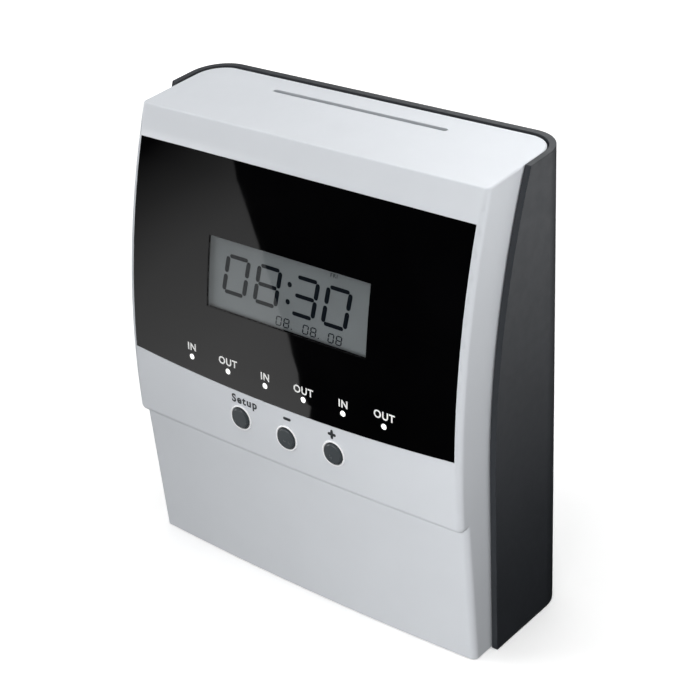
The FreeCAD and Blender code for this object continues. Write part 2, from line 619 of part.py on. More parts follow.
def make_cover():
    """Light front cover: top, front and sides in one moulding."""
    top_front_y = f"{FRONT}+FrontSetback"
    foot = "StepHigh-StepSag-StepRound"
    corners = [(face_at(foot), foot), (COVER_REAR, foot), (COVER_REAR, top_at(COVER_REAR)),
               (top_front_y, TOP_FRONT)]
    side = prism("cover_side", "YZ", corners, f"-{COVER_HALF}", COVER_HALF, {3: FACE_RAD})
    view = prism("cover_view", "XZ",
                 [(f"-{COVER_HALF}-1", "StepHigh"), (f"{COVER_HALF}+1", "StepHigh"),
                  (f"{COVER_HALF}+1", OVERSIZE), (f"-{COVER_HALF}-1", OVERSIZE)],
                 f"-{OVERSIZE}", OVERSIZE,
                 {0: f"(({COVER_HALF}+1)^2+StepSag^2)/(2*StepSag)"})
    block = common("cover_block", side, view)
    doc.recompute()
    rear_limit = number(COVER_REAR) - 0.01
    block = rounded("cover_rear_round", block, "HousingRound-HousingWall-SideGap",
                    lambda edge: upright(edge) and edge.CenterOfMass.y > rear_limit)
    doc.recompute()
    side_limit = number(COVER_HALF) - 0.01
    front_limit = number(top_front_y)
    block = rounded("cover_front_round", block, "CornerRound",
                    lambda edge: abs(edge.CenterOfMass.x) > side_limit
                    and edge.CenterOfMass.y < front_limit - 2 and edge.Length > 60)
    doc.recompute()
    roof = number(TOP_FRONT) - 0.01
    block = rounded("cover_top_round", block, "TopRound",
                    lambda edge: min(point.Point.z for point in edge.Vertexes) > roof)
    doc.recompute()
    lip = number("StepHigh") + 0.5
    block = rounded("cover_lip_round", block, "StepRound",
                    lambda edge: edge.CenterOfMass.z < lip
                    and edge.CenterOfMass.y < front_limit - 10 and edge.Length > 60)
    low = apron("apron_outer", "0", "0", "StepHigh+StepRound+3")
    doc.recompute()
    low = rounded("apron_round", low, "CornerRound",
                  lambda edge: abs(edge.CenterOfMass.x) > side_limit and upright(edge)
                  and edge.CenterOfMass.y < number(SEAM) - 5)
    outer = fuse("cover_outer", block, low)

    inside = f"({COVER_HALF}-CoverWall)"
    roof = f"{top_at('0')}-CoverWall"
    ledge = "(StepHigh+CoverWall)"
    under_front = f"({FRONT}+FrontSetback+CoverWall)"
    corners = [(face_at(ledge, "CoverWall"), ledge), (OVERSIZE, ledge),
               (OVERSIZE, f"{top_at(OVERSIZE)}-CoverWall"),
               (under_front, f"{top_at(under_front)}-CoverWall"),
               (face_at(f"({TOP_FRONT}-2*CoverWall)", "CoverWall"), f"{TOP_FRONT}-2*CoverWall")]
    upper_cavity = prism("upper_cavity", "YZ", corners, f"-{inside}", inside,
                         {4: f"({FACE_RAD}-CoverWall)"})
    lower_cavity = apron("lower_cavity", "CoverWall", "-1", "StepHigh+CoverWall+1")
    back_cavity = wide_box("back_cavity", inside, (f"{SEAM}", OVERSIZE),
                           ("-1", "StepHigh+CoverWall+1"))
    # Behind the lap only the top plate and the two pivot ears stay.
    ear_low = f"({HINGE_Z}-PinBossRad-1)"
    ear_back = f"({HINGE_Y}+PinBossRad+1)"
    corners = [(f"{SEAM}+SeamLap", "-1"), (OVERSIZE, "-1"),
               (OVERSIZE, f"{top_at(OVERSIZE)}-CoverWall"),
               (ear_back, f"{top_at(ear_back)}-CoverWall"), (ear_back, ear_low),
               (seam_at(ear_low, "SeamLap"), ear_low), (f"{SEAM}+SeamLap", "ArcFoot")]
    behind = prism("behind_lap", "YZ", corners, f"-{OVERSIZE}", OVERSIZE, {5: SEAM_RAD})

    recess_low = "(PanelFoot-PanelSag-PanelFit-1)"
    recess = common("panel_recess",
                    face_band("recess_band", "-1", "(PanelThick+PanelFit)", recess_low,
                              f"({TOP_FRONT}-1)", COVER_HALF),
                    panel_outline("recess_view", "PanelFit"))
    opening = window_block("cover_window", "(LcdBorder+2)")
    lights = light_rods("light_holes", "LightRad+PanelFit", "-Deep", f"{FRONT}+3*CoverWall")
    button_holes = [rod(f"{name}_hole", "ButtonHoleRad", "y", "-Deep", f"{FRONT}+3*CoverWall",
                        x, z) for name, x, z in BUTTONS]
    slot_y = f"({CARD}-SlotWide/2)", f"({CARD}+SlotWide/2)"
    slot_half = "(SlotLong/2-SlotWide/2)"
    slot_z = (f"{top_at(CARD)}-SlotLip-2*CoverWall", f"TotalHigh+5")
    slot = fuse("card_slot", wide_box("slot_middle", slot_half, slot_y, slot_z),
                rod("slot_end_left", "SlotWide/2", "z", *slot_z, f"-{slot_half}", CARD),
                rod("slot_end_right", "SlotWide/2", "z", *slot_z, slot_half, CARD))
    lips = wide_box("slot_lips", "SlotLong/2+SlotLipWall",
                    (f"{slot_y[0]}-SlotLipWall", f"{slot_y[1]}+SlotLipWall"),
                    (f"{top_at(CARD)}-CoverWall-SlotLip", f"{top_at(CARD)}-CoverWall/2"))
    boss = rod("pin_boss", "PinBossRad", "x", f"{inside}-PinBoss", f"{inside}+1",
               HINGE_Y, HINGE_Z)
    pin_bore = rod("pin_bore", "PinRad", "x", f"{inside}-PinBoss-1", f"{COVER_HALF}+1",
                   HINGE_Y, HINGE_Z)
    walls = cut("cover_walls", outer, upper_cavity, lower_cavity, back_cavity, behind)
    solid = fuse("cover_solid", walls, lips, both_sides("pin_bosses", boss))
    cover = cut("cover_cut", solid, recess, opening, lights, *button_holes, slot,
                both_sides("pin_bores", pin_bore))
    part("front_cover", cover)

    pin = rod("hinge_pin", "PinRad", "x", f"{inside}-PinBoss", f"{COVER_HALF}+SideGap+PinLap-0.2",
              HINGE_Y, HINGE_Z)
    part("hinge_pins", group("pins", pin, mirrored("hinge_pin_other", pin)))


def make_panel():
    """Gloss panel, the clear lens in its window and the six light pipes."""
    sheet = common("panel_sheet",
                   face_band("panel_band", "0", "PanelThick", "(PanelFoot-PanelSag-1)",
                             f"({TOP_FRONT}-1)", COVER_HALF),
                   panel_outline("panel_view", "0"))
    holes = light_rods("pipe_holes", "LightRad", "-Deep", f"{FRONT}+3*CoverWall")
    part("display_panel", cut("panel", sheet, window_block("panel_window", "0"), holes))
    lens = common("lens", face_band("lens_band", "WindowSink", "(WindowSink+WindowThick)",
                                    "ArcFoot", f"({TOP_FRONT}-1)", COVER_HALF),
                  window_block("lens_view", "0"))
    part("display_window", lens)
    rods_ = light_rods("pipe_rods", "LightRad", "-Deep", f"{FRONT}+CoverWall+1")
    band = face_band("pipe_band", "0", "(CoverWall+0.2)", "ArcFoot", f"({TOP_FRONT}-1)",
                     COVER_HALF)
    part("indicator_light_pipes", common("pipes", band, rods_))


def make_button(node, x, z):
    """A round cap with a retaining flange and a stem, turned about its own axis."""
    body = doc.addObject("PartDesign::Body", f"{node}_body")
    cap = "(ButtonHoleRad-ButtonFit)"
    cap_back = "(ButtonProud+CoverWall+ButtonFit)"
    flange = "(ButtonHoleRad+ButtonFlange)"
    flange_back = f"({cap_back}+1)"
    stem_back = f"({flange_back}+ButtonStem)"
    edge = "0.7"
    corners = [("0", "0"), (f"{cap}-{edge}", "0"), (cap, f"-{edge}"), (cap, f"-{cap_back}"),
               (flange, f"-{cap_back}"), (flange, f"-{flange_back}"),
               ("ButtonStemRad", f"-{flange_back}"), ("ButtonStemRad", f"-{stem_back}"),
               ("0", f"-{stem_back}")]
    sketch = body.newObject("Sketcher::SketchObject", f"{node}_section")
    plane = [item for item in body.Origin.OriginFeatures if item.Role == "XZ_Plane"][0]
    sketch.AttachmentSupport = [(plane, "")]
    sketch.MapMode = "FlatFace"
    doc.recompute()
    draw(sketch, corners, {1: edge})
    turned = body.newObject("PartDesign::Revolution", f"{node}_turned")
    turned.Profile = sketch
    turned.ReferenceAxis = (sketch, ["V_Axis"])
    turned.Angle = 360
    body.Tip = turned
    body.Placement = Placement(Vector(), Rotation(Vector(1, 0, 0), 90))
    place(body, x, f"{FRONT}-ButtonProud", z)
    part(node, body)


# ---------------------------------------------------------------- chassis and card guide
def make_chassis():
    """Folded steel frame: back plate, two side plates, cassette shelves and pinch ears."""
    back = wide_box("chassis_back", PLATE_HALF, (CHASSIS_Y, f"{CHASSIS_Y}+SheetThick"),
                    ("ChassisFoot", CHASSIS_TOP))
    seat_drop = "(BoardDeep+BoardThick+BracketGap+BracketThick)"
    front_top = (f"({face_at(WINDOW_Z)}+{seat_drop}/cos({TILT})"
                 f"+({CHASSIS_TOP}-{WINDOW_Z})*tan({TILT}))")
    knee = "(BandLow-8)"
    front_knee = (f"({face_at(WINDOW_Z)}+{seat_drop}/cos({TILT})"
                  f"+({knee}-{WINDOW_Z})*tan({TILT}))")
    low_front = f"({CARD}-ChassisNose)"
    corners = [(low_front, "ChassisFoot"), (f"{CHASSIS_Y}+SheetThick", "ChassisFoot"),
               (f"{CHASSIS_Y}+SheetThick", CHASSIS_TOP), (front_top, CHASSIS_TOP),
               (front_knee, knee), (f"({CARD}-ChassisReach)", knee),
               (f"({CARD}-ChassisReach)", f"({MOTOR_Z}-MotorRad-2)"),
               (low_front, f"({MOTOR_Z}-MotorRad-14)")]
    side = prism("chassis_side", "YZ", corners, f"{PLATE_HALF}-SheetThick", PLATE_HALF)
    shelf = box("cassette_shelf", ("ArmSpan/2+0.5", PLATE_HALF),
                (f"{CARD}-CassetteRear-CassetteDeep", f"{CARD}-CassetteRear"),
                ("CassetteBase-SheetThick", "CassetteBase"))
    ear = box("pinch_ear", ("FeedPitch/2+FeedRollerLong/2+3",
                            "FeedPitch/2+FeedRollerLong/2+3+SheetThick"),
              (f"{PINCH_PIVOT_Y}-PinchAxleRad-0.8", f"{CHASSIS_Y}+SheetThick"),
              (f"{PINCH_PIVOT_Z}-3", f"{PINCH_PIVOT_Z}+3"))
    frame = fuse("chassis_solid", back, both_sides("chassis_sides", side),
                 both_sides("cassette_shelves", shelf), both_sides("pinch_ears", ear))
    holes = [
        rod("feed_hole", "BushRad-1", "x", f"-{PLATE_HALF}-1", f"{PLATE_HALF}+1",
            FEED_Y, "FeedHigh"),
        rod("front_rod_hole", "RodRad", "x", f"-{PLATE_HALF}-1", f"{PLATE_HALF}+1",
            f"{CARD}-RodFront", "RodHigh"),
        rod("rear_rod_hole", "RodRad", "x", f"-{PLATE_HALF}-1", f"{PLATE_HALF}+1",
            f"{CARD}-RodRear", "RodHigh"),
        rod("motor_hole", "5", "x", f"{PLATE_HALF}-SheetThick-1", f"{PLATE_HALF}+1",
            MOTOR_Y, MOTOR_Z),
        rod("pinch_hole", "PinchAxleRad", "x", f"-{PLATE_HALF}+2*SheetThick",
            f"{PLATE_HALF}-2*SheetThick", PINCH_PIVOT_Y, PINCH_PIVOT_Z),
        box("inlet_window", ("InletSide-InletWide/2-0.5", "InletSide+InletWide/2+0.5"),
            (f"{CHASSIS_Y}-1", f"{CHASSIS_Y}+SheetThick+1"),
            ("InletBase-0.5", "InletBase+InletHigh+0.5")),
    ]
    screws = []
    for side_of in (-1, 1):
        for level in ("PostLow", "PostHigh"):
            name = f"{level}_{side_of + 1}"
            x = f"{side_of}*PostSpan/2"
            holes.append(rod(f"chassis_hole_{name}", "ScrewRad", "y", f"{CHASSIS_Y}-1",
                             f"{CHASSIS_Y}+SheetThick+0.1", x, level))
            screws.append(screw(f"chassis_screw_{name}", "ScrewLong", 1, x, CHASSIS_Y, level))
    part("chassis_frame", cut("chassis", frame, *holes))
    part("chassis_screws", group("screws", *screws))


def make_guides():
    """Card channel: a rear plate, and a front plate split by the open print band."""
    half = "GuideWide/2"
    flare = "GuideFlare"
    rear_back = f"({GUIDE_REAR}+GuideThick)"
    front_face = f"({GUIDE_FRONT}-GuideThick)"
    corners = [(GUIDE_REAR, "GuideFoot"), (rear_back, "GuideFoot"),
               (rear_back, f"{CHASSIS_TOP}-2*{flare}"),
               (f"{rear_back}+{flare}", CHASSIS_TOP), (f"{GUIDE_REAR}+{flare}", CHASSIS_TOP),
               (GUIDE_REAR, f"{CHASSIS_TOP}-2*{flare}+GuideThick/2")]
    rear = prism("rear_guide_plate", "YZ", corners, f"-{half}", half)
    struts = [rod(f"guide_strut{count}", "3", "y", f"{rear_back}-0.2", CHASSIS_Y, x, z)
              for count, (x, z) in enumerate((("-GuideWide/2+6", "PostLow+12"),
                                              ("GuideWide/2-6", "PostLow+12"),
                                              ("-GuideWide/2+6", "PostHigh-14"),
                                              ("GuideWide/2-6", "PostHigh-14")))]
    stop = wide_box("card_stop", half, (GUIDE_FRONT, f"{GUIDE_REAR}+0.2"),
                    ("GuideFoot", "GuideFoot+CardStopThick"))
    windows = [box(f"pinch_window{side + 1}",
                   (f"{side}*FeedPitch/2-FeedRollerLong/2-3",
                    f"{side}*FeedPitch/2+FeedRollerLong/2+3"),
                   (f"{GUIDE_REAR}-1", f"{rear_back}+1"),
                   ("FeedHigh-PinchRad-2", "FeedHigh+PinchRad+2.5")) for side in (-1, 1)]
    windows.append(wide_box("platen_window", "GuideWide/2-5", (f"{GUIDE_REAR}-1", f"{rear_back}+1"),
                            ("PrintHigh-PlatenHigh/2-0.3", "PrintHigh+PlatenHigh/2+0.3")))
    part("card_guide_rear", cut("rear_guide", fuse("rear_guide_solid", rear, stop, *struts),
                                *windows))

    plate_in = f"({PLATE_HALF}-SheetThick)"
    rail = "SlotLong/2"

    def front(name, low, high, wing):
        plate = wide_box(f"{name}_plate", half, (front_face, GUIDE_FRONT), (low, high))
        edge = both_sides(f"{name}_rails", box(f"{name}_rail", (rail, half),
                                               (f"{GUIDE_FRONT}-0.2", GUIDE_REAR), (low, high)))
        wings = both_sides(f"{name}_wings", box(f"{name}_wing", (f"{half}-1", plate_in),
                                                (front_face, GUIDE_FRONT), wing))
        return [plate, edge, wings]

    lower = front("lower_guide", "GuideFoot+CardStopThick", "BandLow",
                  ("PostLow", "PostLow+16"))
    roller_windows = [box(f"feed_window{side + 1}",
                          (f"{side}*FeedPitch/2-FeedRollerLong/2-1",
                           f"{side}*FeedPitch/2+FeedRollerLong/2+1"),
                          (f"{front_face}-1", f"{GUIDE_FRONT}+0.5"),
                          ("FeedHigh-FeedRollerRad+1", "FeedHigh+FeedRollerRad-1"))
                      for side in (-1, 1)]
    part("card_guide_front_lower", cut("lower_guide", fuse("lower_guide_solid", *lower),
                                       *roller_windows))
    upper = front("upper_guide", "BandHigh", f"{CHASSIS_TOP}-2*{flare}",
                  ("PostHigh-8", "PostHigh+8"))
    corners = [(GUIDE_FRONT, f"{CHASSIS_TOP}-2*{flare}-0.1"),
               (f"{GUIDE_FRONT}-{flare}", CHASSIS_TOP),
               (f"{front_face}-{flare}", CHASSIS_TOP),
               (front_face, f"{CHASSIS_TOP}-2*{flare}-0.1")]
    mouth = prism("upper_mouth", "YZ", corners, f"-({half})", half)
    part("card_guide_front_upper", fuse("upper_guide", *upper, mouth))

    sensor = box("sensor_block", ("-8", "8"), (f"{front_face}-9", front_face),
                 ("GuideFoot+22", "GuideFoot+34"))
    part("card_sensor", sensor)
    platen = wide_box("platen_bar", "GuideWide/2-6", (f"{GUIDE_REAR}", CHASSIS_Y),
                      ("PrintHigh-PlatenHigh/2", "PrintHigh+PlatenHigh/2"))
    part("platen", platen)


# ---------------------------------------------------------------- card feed
def gear(name, teeth, turn):
    """A spur gear about z: a disc with straight-sided gaps, one gap repeated round it."""
    body = doc.addObject("PartDesign::Body", name)
    tip = f"(GearModule*({teeth}/2+0.85))"
    root = f"(GearModule*({teeth}/2-1.2))"
    plane = [item for item in body.Origin.OriginFeatures if item.Role == "XY_Plane"][0]
    axis = [item for item in body.Origin.OriginFeatures if item.Role == "Z_Axis"][0]
    disc = body.newObject("Sketcher::SketchObject", f"{name}_disc")
    disc.AttachmentSupport = [(plane, "")]
    disc.MapMode = "FlatFace"
    disc.addGeometry(Part.Circle(Vector(), Vector(0, 0, 1), number(tip)))
    disc.addConstraint(Sketcher.Constraint("Coincident", 0, 3, -1, 1))
    index = disc.addConstraint(Sketcher.Constraint("Radius", 0, number(tip)))
    disc.setExpression(f"Constraints[{index}]", bound(tip))
    pad = body.newObject("PartDesign::Pad", f"{name}_pad")
    pad.Profile = disc
    pad.setExpression("Length", bound("GearFace"))
    gap = body.newObject("Sketcher::SketchObject", f"{name}_gap")
    gap.AttachmentSupport = [(plane, "")]
    gap.MapMode = "FlatFace"
    wide = "(GearModule*1.45)"
    narrow = "(GearModule*0.58)"
    draw(gap, [(root, f"-{narrow}"), (f"{tip}+1", f"-{wide}"), (f"{tip}+1", wide),
               (root, narrow)], {})
    pocket = body.newObject("PartDesign::Pocket", f"{name}_pocket")
    pocket.Profile = gap
    pocket.Type = "ThroughAll"
    pocket.Midplane = True
    turns = body.newObject("PartDesign::PolarPattern", f"{name}_turns")
    turns.Originals = [pocket]
    turns.Axis = (axis, [""])
    turns.Angle = 360
    turns.setExpression("Occurrences", bound(teeth))
    body.Tip = turns
    body.Placement = Placement(Vector(), TURNS["x"].multiply(Rotation(Vector(0, 0, 1), turn)))
    return body


def make_feed():
    """Driven shaft, its rollers and gear, the motor, and the sprung pinch rollers."""
    plate_out = PLATE_HALF
    gear_x = f"({plate_out}+BushFlange+0.6)"
    shaft = rod("feed_shaft_rod", "FeedShaftRad", "x", f"-{plate_out}-BushFlange-2",
                f"{gear_x}+GearFace+1", FEED_Y, "FeedHigh")
    part("feed_shaft", shaft)
    rollers = []
    for side in (-1, 1):
        low = f"{side}*FeedPitch/2-FeedRollerLong/2"
        high = f"{side}*FeedPitch/2+FeedRollerLong/2"
        rollers.append(cut(f"feed_roller{side + 1}",
                           rod(f"feed_tyre{side + 1}", "FeedRollerRad", "x", low, high,
                               FEED_Y, "FeedHigh"),
                           rod(f"feed_core{side + 1}", "FeedShaftRad", "x", f"{low}-1",
                               f"{high}+1", FEED_Y, "FeedHigh")))
    part("feed_rollers", group("rollers", *rollers))
    bush = cut("feed_bush",
               fuse("bush_solid",
                    rod("bush_sleeve", "BushRad-1", "x", f"{plate_out}-SheetThick",
                        f"{plate_out}+0.2", FEED_Y, "FeedHigh"),
                    rod("bush_flange", "BushRad", "x", plate_out, f"{plate_out}+BushFlange",
                        FEED_Y, "FeedHigh")),
               rod("bush_bore", "FeedShaftRad+RunFit", "x", f"{plate_out}-SheetThick-1",
                   f"{plate_out}+BushFlange+1", FEED_Y, "FeedHigh"))
    part("feed_bushes", group("bushes", bush, mirrored("feed_bush_other", bush)))

    rake = number("GearRake")
    big = gear("feed_wheel", "GearTeethBig", 180 + rake + 180 / number("GearTeethBig"))
    place(big, gear_x, FEED_Y, "FeedHigh")
    bore = rod("feed_gear_bore", "FeedShaftRad", "x", f"{gear_x}-1", f"{gear_x}+GearFace+1",
               FEED_Y, "FeedHigh")
    part("feed_gear", cut("feed_gear_cut", big, bore))
    small = gear("pinion_wheel", "GearTeethSmall", rake)
    place(small, gear_x, MOTOR_Y, MOTOR_Z)
    spindle = rod("motor_spindle", "1.5", "x", f"{plate_out}-SheetThick+0.3",
                  f"{gear_x}+GearFace/2", MOTOR_Y, MOTOR_Z)
    part("motor_pinion", fuse("pinion", small, spindle))
    can = rod("motor_can", "MotorRad", "x", f"{plate_out}-SheetThick-MotorLong",
              f"{plate_out}-SheetThick", MOTOR_Y, MOTOR_Z)
    part("feed_motor", can)

    reach = "(FeedPitch/2+FeedRollerLong/2+2)"
    sheet_y = (f"{PINCH_Y}+PinchRad+0.3-PinchSheet", f"{PINCH_Y}+PinchRad+0.3")
    web = wide_box("pinch_web", reach, sheet_y, ("FeedHigh+PinchRad+3", f"{PINCH_PIVOT_Z}-2.5"))
    cheek_x = (f"{reach}-PinchSheet", reach)
    cheeks = both_sides("pinch_cheeks", fuse(
        "pinch_cheek",
        box("pinch_cheek_low", cheek_x, (f"{PINCH_Y}-PinchAxleRad-0.6", sheet_y[1]),
            ("FeedHigh-2.5", "FeedHigh+PinchRad+1.5")),
        box("pinch_cheek_high", cheek_x, (f"{PINCH_PIVOT_Y}-PinchAxleRad-0.8", sheet_y[1]),
            ("FeedHigh-2.5", f"{PINCH_PIVOT_Z}+2.5"))))
    pivot_bore = rod("pinch_pivot_bore", "PinchAxleRad+RunFit", "x", f"-{reach}-1",
                     f"{reach}+1", PINCH_PIVOT_Y, PINCH_PIVOT_Z)
    axle_bore = rod("pinch_axle_bore", "PinchAxleRad", "x", f"-{reach}-1", f"{reach}+1",
                    PINCH_Y, "FeedHigh")
    part("pinch_lever", cut("lever", fuse("lever_solid", web, cheeks), pivot_bore, axle_bore))
    pivot = rod("pinch_pivot", "PinchAxleRad", "x", f"-{reach}-1-SheetThick",
                f"{reach}+1+SheetThick", PINCH_PIVOT_Y, PINCH_PIVOT_Z)
    part("pinch_pivot_shaft", pivot)
    axle = rod("pinch_axle_rod", "PinchAxleRad", "x", f"-{reach}", reach, PINCH_Y, "FeedHigh")
    part("pinch_axle", axle)
    wheels = []
    for side in (-1, 1):
        low = f"{side}*FeedPitch/2-FeedRollerLong/2"
        high = f"{side}*FeedPitch/2+FeedRollerLong/2"
        wheels.append(cut(f"pinch_wheel{side + 1}",
                          rod(f"pinch_tyre{side + 1}", "PinchRad", "x", low, high,
                              PINCH_Y, "FeedHigh"),
                          rod(f"pinch_core{side + 1}", "PinchAxleRad+RunFit", "x", f"{low}-1",
                              f"{high}+1", PINCH_Y, "FeedHigh")))
    part("pinch_rollers", group("pinch_pair", *wheels))

    spring_y = f"({PINCH_Y}+PinchRad+0.3)"
    spring_low = "(FeedHigh+PinchRad+3.5)"
    spring_high = f"({PINCH_PIVOT_Z}+6)"
    corners = [(f"{CHASSIS_Y}-SpringThick", spring_high), (CHASSIS_Y, spring_high),
               (CHASSIS_Y, f"{PINCH_PIVOT_Z}-1"), (f"{spring_y}+SpringGap+SpringThick", spring_low),
               (f"{spring_y}+SpringGap", spring_low), (f"{CHASSIS_Y}-SpringThick", f"{PINCH_PIVOT_Z}-1")]
    part("pinch_leaf_spring", prism("leaf_spring", "YZ", corners, "-5", "5"))


# ---------------------------------------------------------------- printing
def make_printer():
    """Carriage on two rods, its print head, belt drive and motor."""
    plate_in = f"({PLATE_HALF}-SheetThick)"
    front_rod_y = f"({CARD}-RodFront)"
    rear_rod_y = f"({CARD}-RodRear)"
    rods_ = [rod(f"guide_rod{count}", "RodRad", "x", f"-{PLATE_HALF}", PLATE_HALF, y, "RodHigh")
             for count, y in enumerate((front_rod_y, rear_rod_y))]
    part("guide_rods", group("carriage_rods", *rods_))

    half = "CarriageWide/2"
    low = "(RodHigh-CarriageHigh/2)"
    high = "(RodHigh+CarriageHigh/2)"
    block = wide_box("carriage_block", half, (f"{front_rod_y}-5", f"{rear_rod_y}+5"), (low, high))
    belt_front = f"{PULLEY_Y}-PulleyRad-BeltGap-BeltThick"
    clamp = wide_box("belt_clamp", "5", (f"{belt_front}-3", f"{belt_front}-0.4"),
                     ("BeltBase+1", f"{low}+0.5"))
    bores = [rod(f"carriage_bore{count}", "RodRad+RunFit", "x", f"-{half}-1", f"{half}+1",
                 y, "RodHigh") for count, y in enumerate((front_rod_y, rear_rod_y))]
    part("print_carriage", cut("carriage", fuse("carriage_solid", block, clamp), *bores))

    head_half = "HeadWide/2"
    head_rear = f"({rear_rod_y}+3)"
    body = wide_box("head_body", head_half, (f"{front_rod_y}-3", head_rear),
                    (high, f"{high}+HeadHigh"))
    grooves = []
    for count in range(5):
        y = f"({front_rod_y}+{count * 3.2})"
        for side in (-1, 1):
            low_x = f"-{head_half}-1" if side < 0 else f"{head_half}-2.5"
            high_x = f"-{head_half}+2.5" if side < 0 else f"{head_half}+1"
            grooves.append(box(f"head_groove{count}_{side + 1}", (low_x, high_x),
                               (y, f"{y}+1.6"), (f"{high}+2", f"{high}+HeadHigh+1")))
    nose = wide_box("head_nose", "NoseWide/2", (f"{head_rear}-1", f"{CARD}-NoseTip"),
                    ("PrintHigh-NoseHigh/2", "PrintHigh+NoseHigh/2"))
    part("print_head", cut("head", fuse("head_solid", body, nose), *grooves))

    plate_top = "(BeltBase-0.6)"
    plate_low = f"({plate_top}-SheetThick)"
    for node, side in (("drive_pulley", -1), ("idler_pulley", 1)):
        x = f"{side}*PulleyPitch/2"
        rim = rod(f"{node}_rim", "PulleyRad", "z", "BeltBase", "BeltBase+PulleyHigh",
                  x, PULLEY_Y)
        flange = rod(f"{node}_flange", "PulleyRad+FlangeLip", "z", "BeltBase", "BeltBase+0.6",
                     x, PULLEY_Y)
        if side < 0:
            spindle = rod("drive_spindle", "SpindleRad", "z", f"{plate_low}+0.3",
                          "BeltBase+PulleyHigh+1", x, PULLEY_Y)
            part(node, fuse(f"{node}_wheel", rim, flange, spindle))
        else:
            bore = rod(f"{node}_bore", "SpindleRad+RunFit", "z", "BeltBase-1",
                       "BeltBase+PulleyHigh+1", x, PULLEY_Y)
            part(node, cut(f"{node}_cut", fuse(f"{node}_wheel", rim, flange), bore))

    def loop(name, radius, z):
        ends = [rod(f"{name}_end{side + 1}", radius, "z", *z, f"{side}*PulleyPitch/2", PULLEY_Y)
                for side in (-1, 1)]
        middle = wide_box(f"{name}_middle", "PulleyPitch/2",
                          (f"{PULLEY_Y}-({radius})", f"{PULLEY_Y}+({radius})"), z)
        return fuse(name, middle, *ends)

    belt_z = "BeltBase+1", "BeltBase+1+BeltHigh"
    part("carriage_belt", cut("belt",
                              loop("belt_outside", "PulleyRad+BeltGap+BeltThick", belt_z),
                              loop("belt_inside", "PulleyRad+BeltGap",
                                   ("BeltBase", "BeltBase+2+BeltHigh"))))

    for node, side in (("motor_bracket", -1), ("idler_bracket", 1)):
        inner = "PulleyPitch/2-BeltMotorRad-2"
        span = (f"{inner}", plate_in) if side > 0 else (f"-{plate_in}", f"-({inner})")
        flat = box(f"{node}_flat", span, (f"{PULLEY_Y}-BeltMotorRad", f"{PULLEY_Y}+8"),
                   (plate_low, plate_top))
        tab_x = (f"{plate_in}-SheetThick", plate_in) if side > 0 else \
            (f"-{plate_in}", f"-{plate_in}+SheetThick")
        tab = box(f"{node}_tab", tab_x, (f"{PULLEY_Y}-BeltMotorRad", f"{PULLEY_Y}+8"),
                  (f"{plate_low}-4", plate_top))
        if side < 0:
            hole = rod(f"{node}_hole", "SpindleRad+0.7", "z", f"{plate_low}-1", f"{plate_top}+1",
                       "-PulleyPitch/2", PULLEY_Y)
            part(node, cut(f"{node}_cut", fuse(f"{node}_solid", flat, tab), hole))
        else:
            pin = rod("idler_pin", "SpindleRad", "z", plate_low, "BeltBase+PulleyHigh+0.5",
                      "PulleyPitch/2", PULLEY_Y)
            part(node, fuse(f"{node}_solid", flat, tab, pin))
    motor = rod("carriage_can", "BeltMotorRad-0.6", "z", f"{plate_low}-BeltMotorLong", plate_low,
                "-PulleyPitch/2", PULLEY_Y)
    part("carriage_motor", motor)


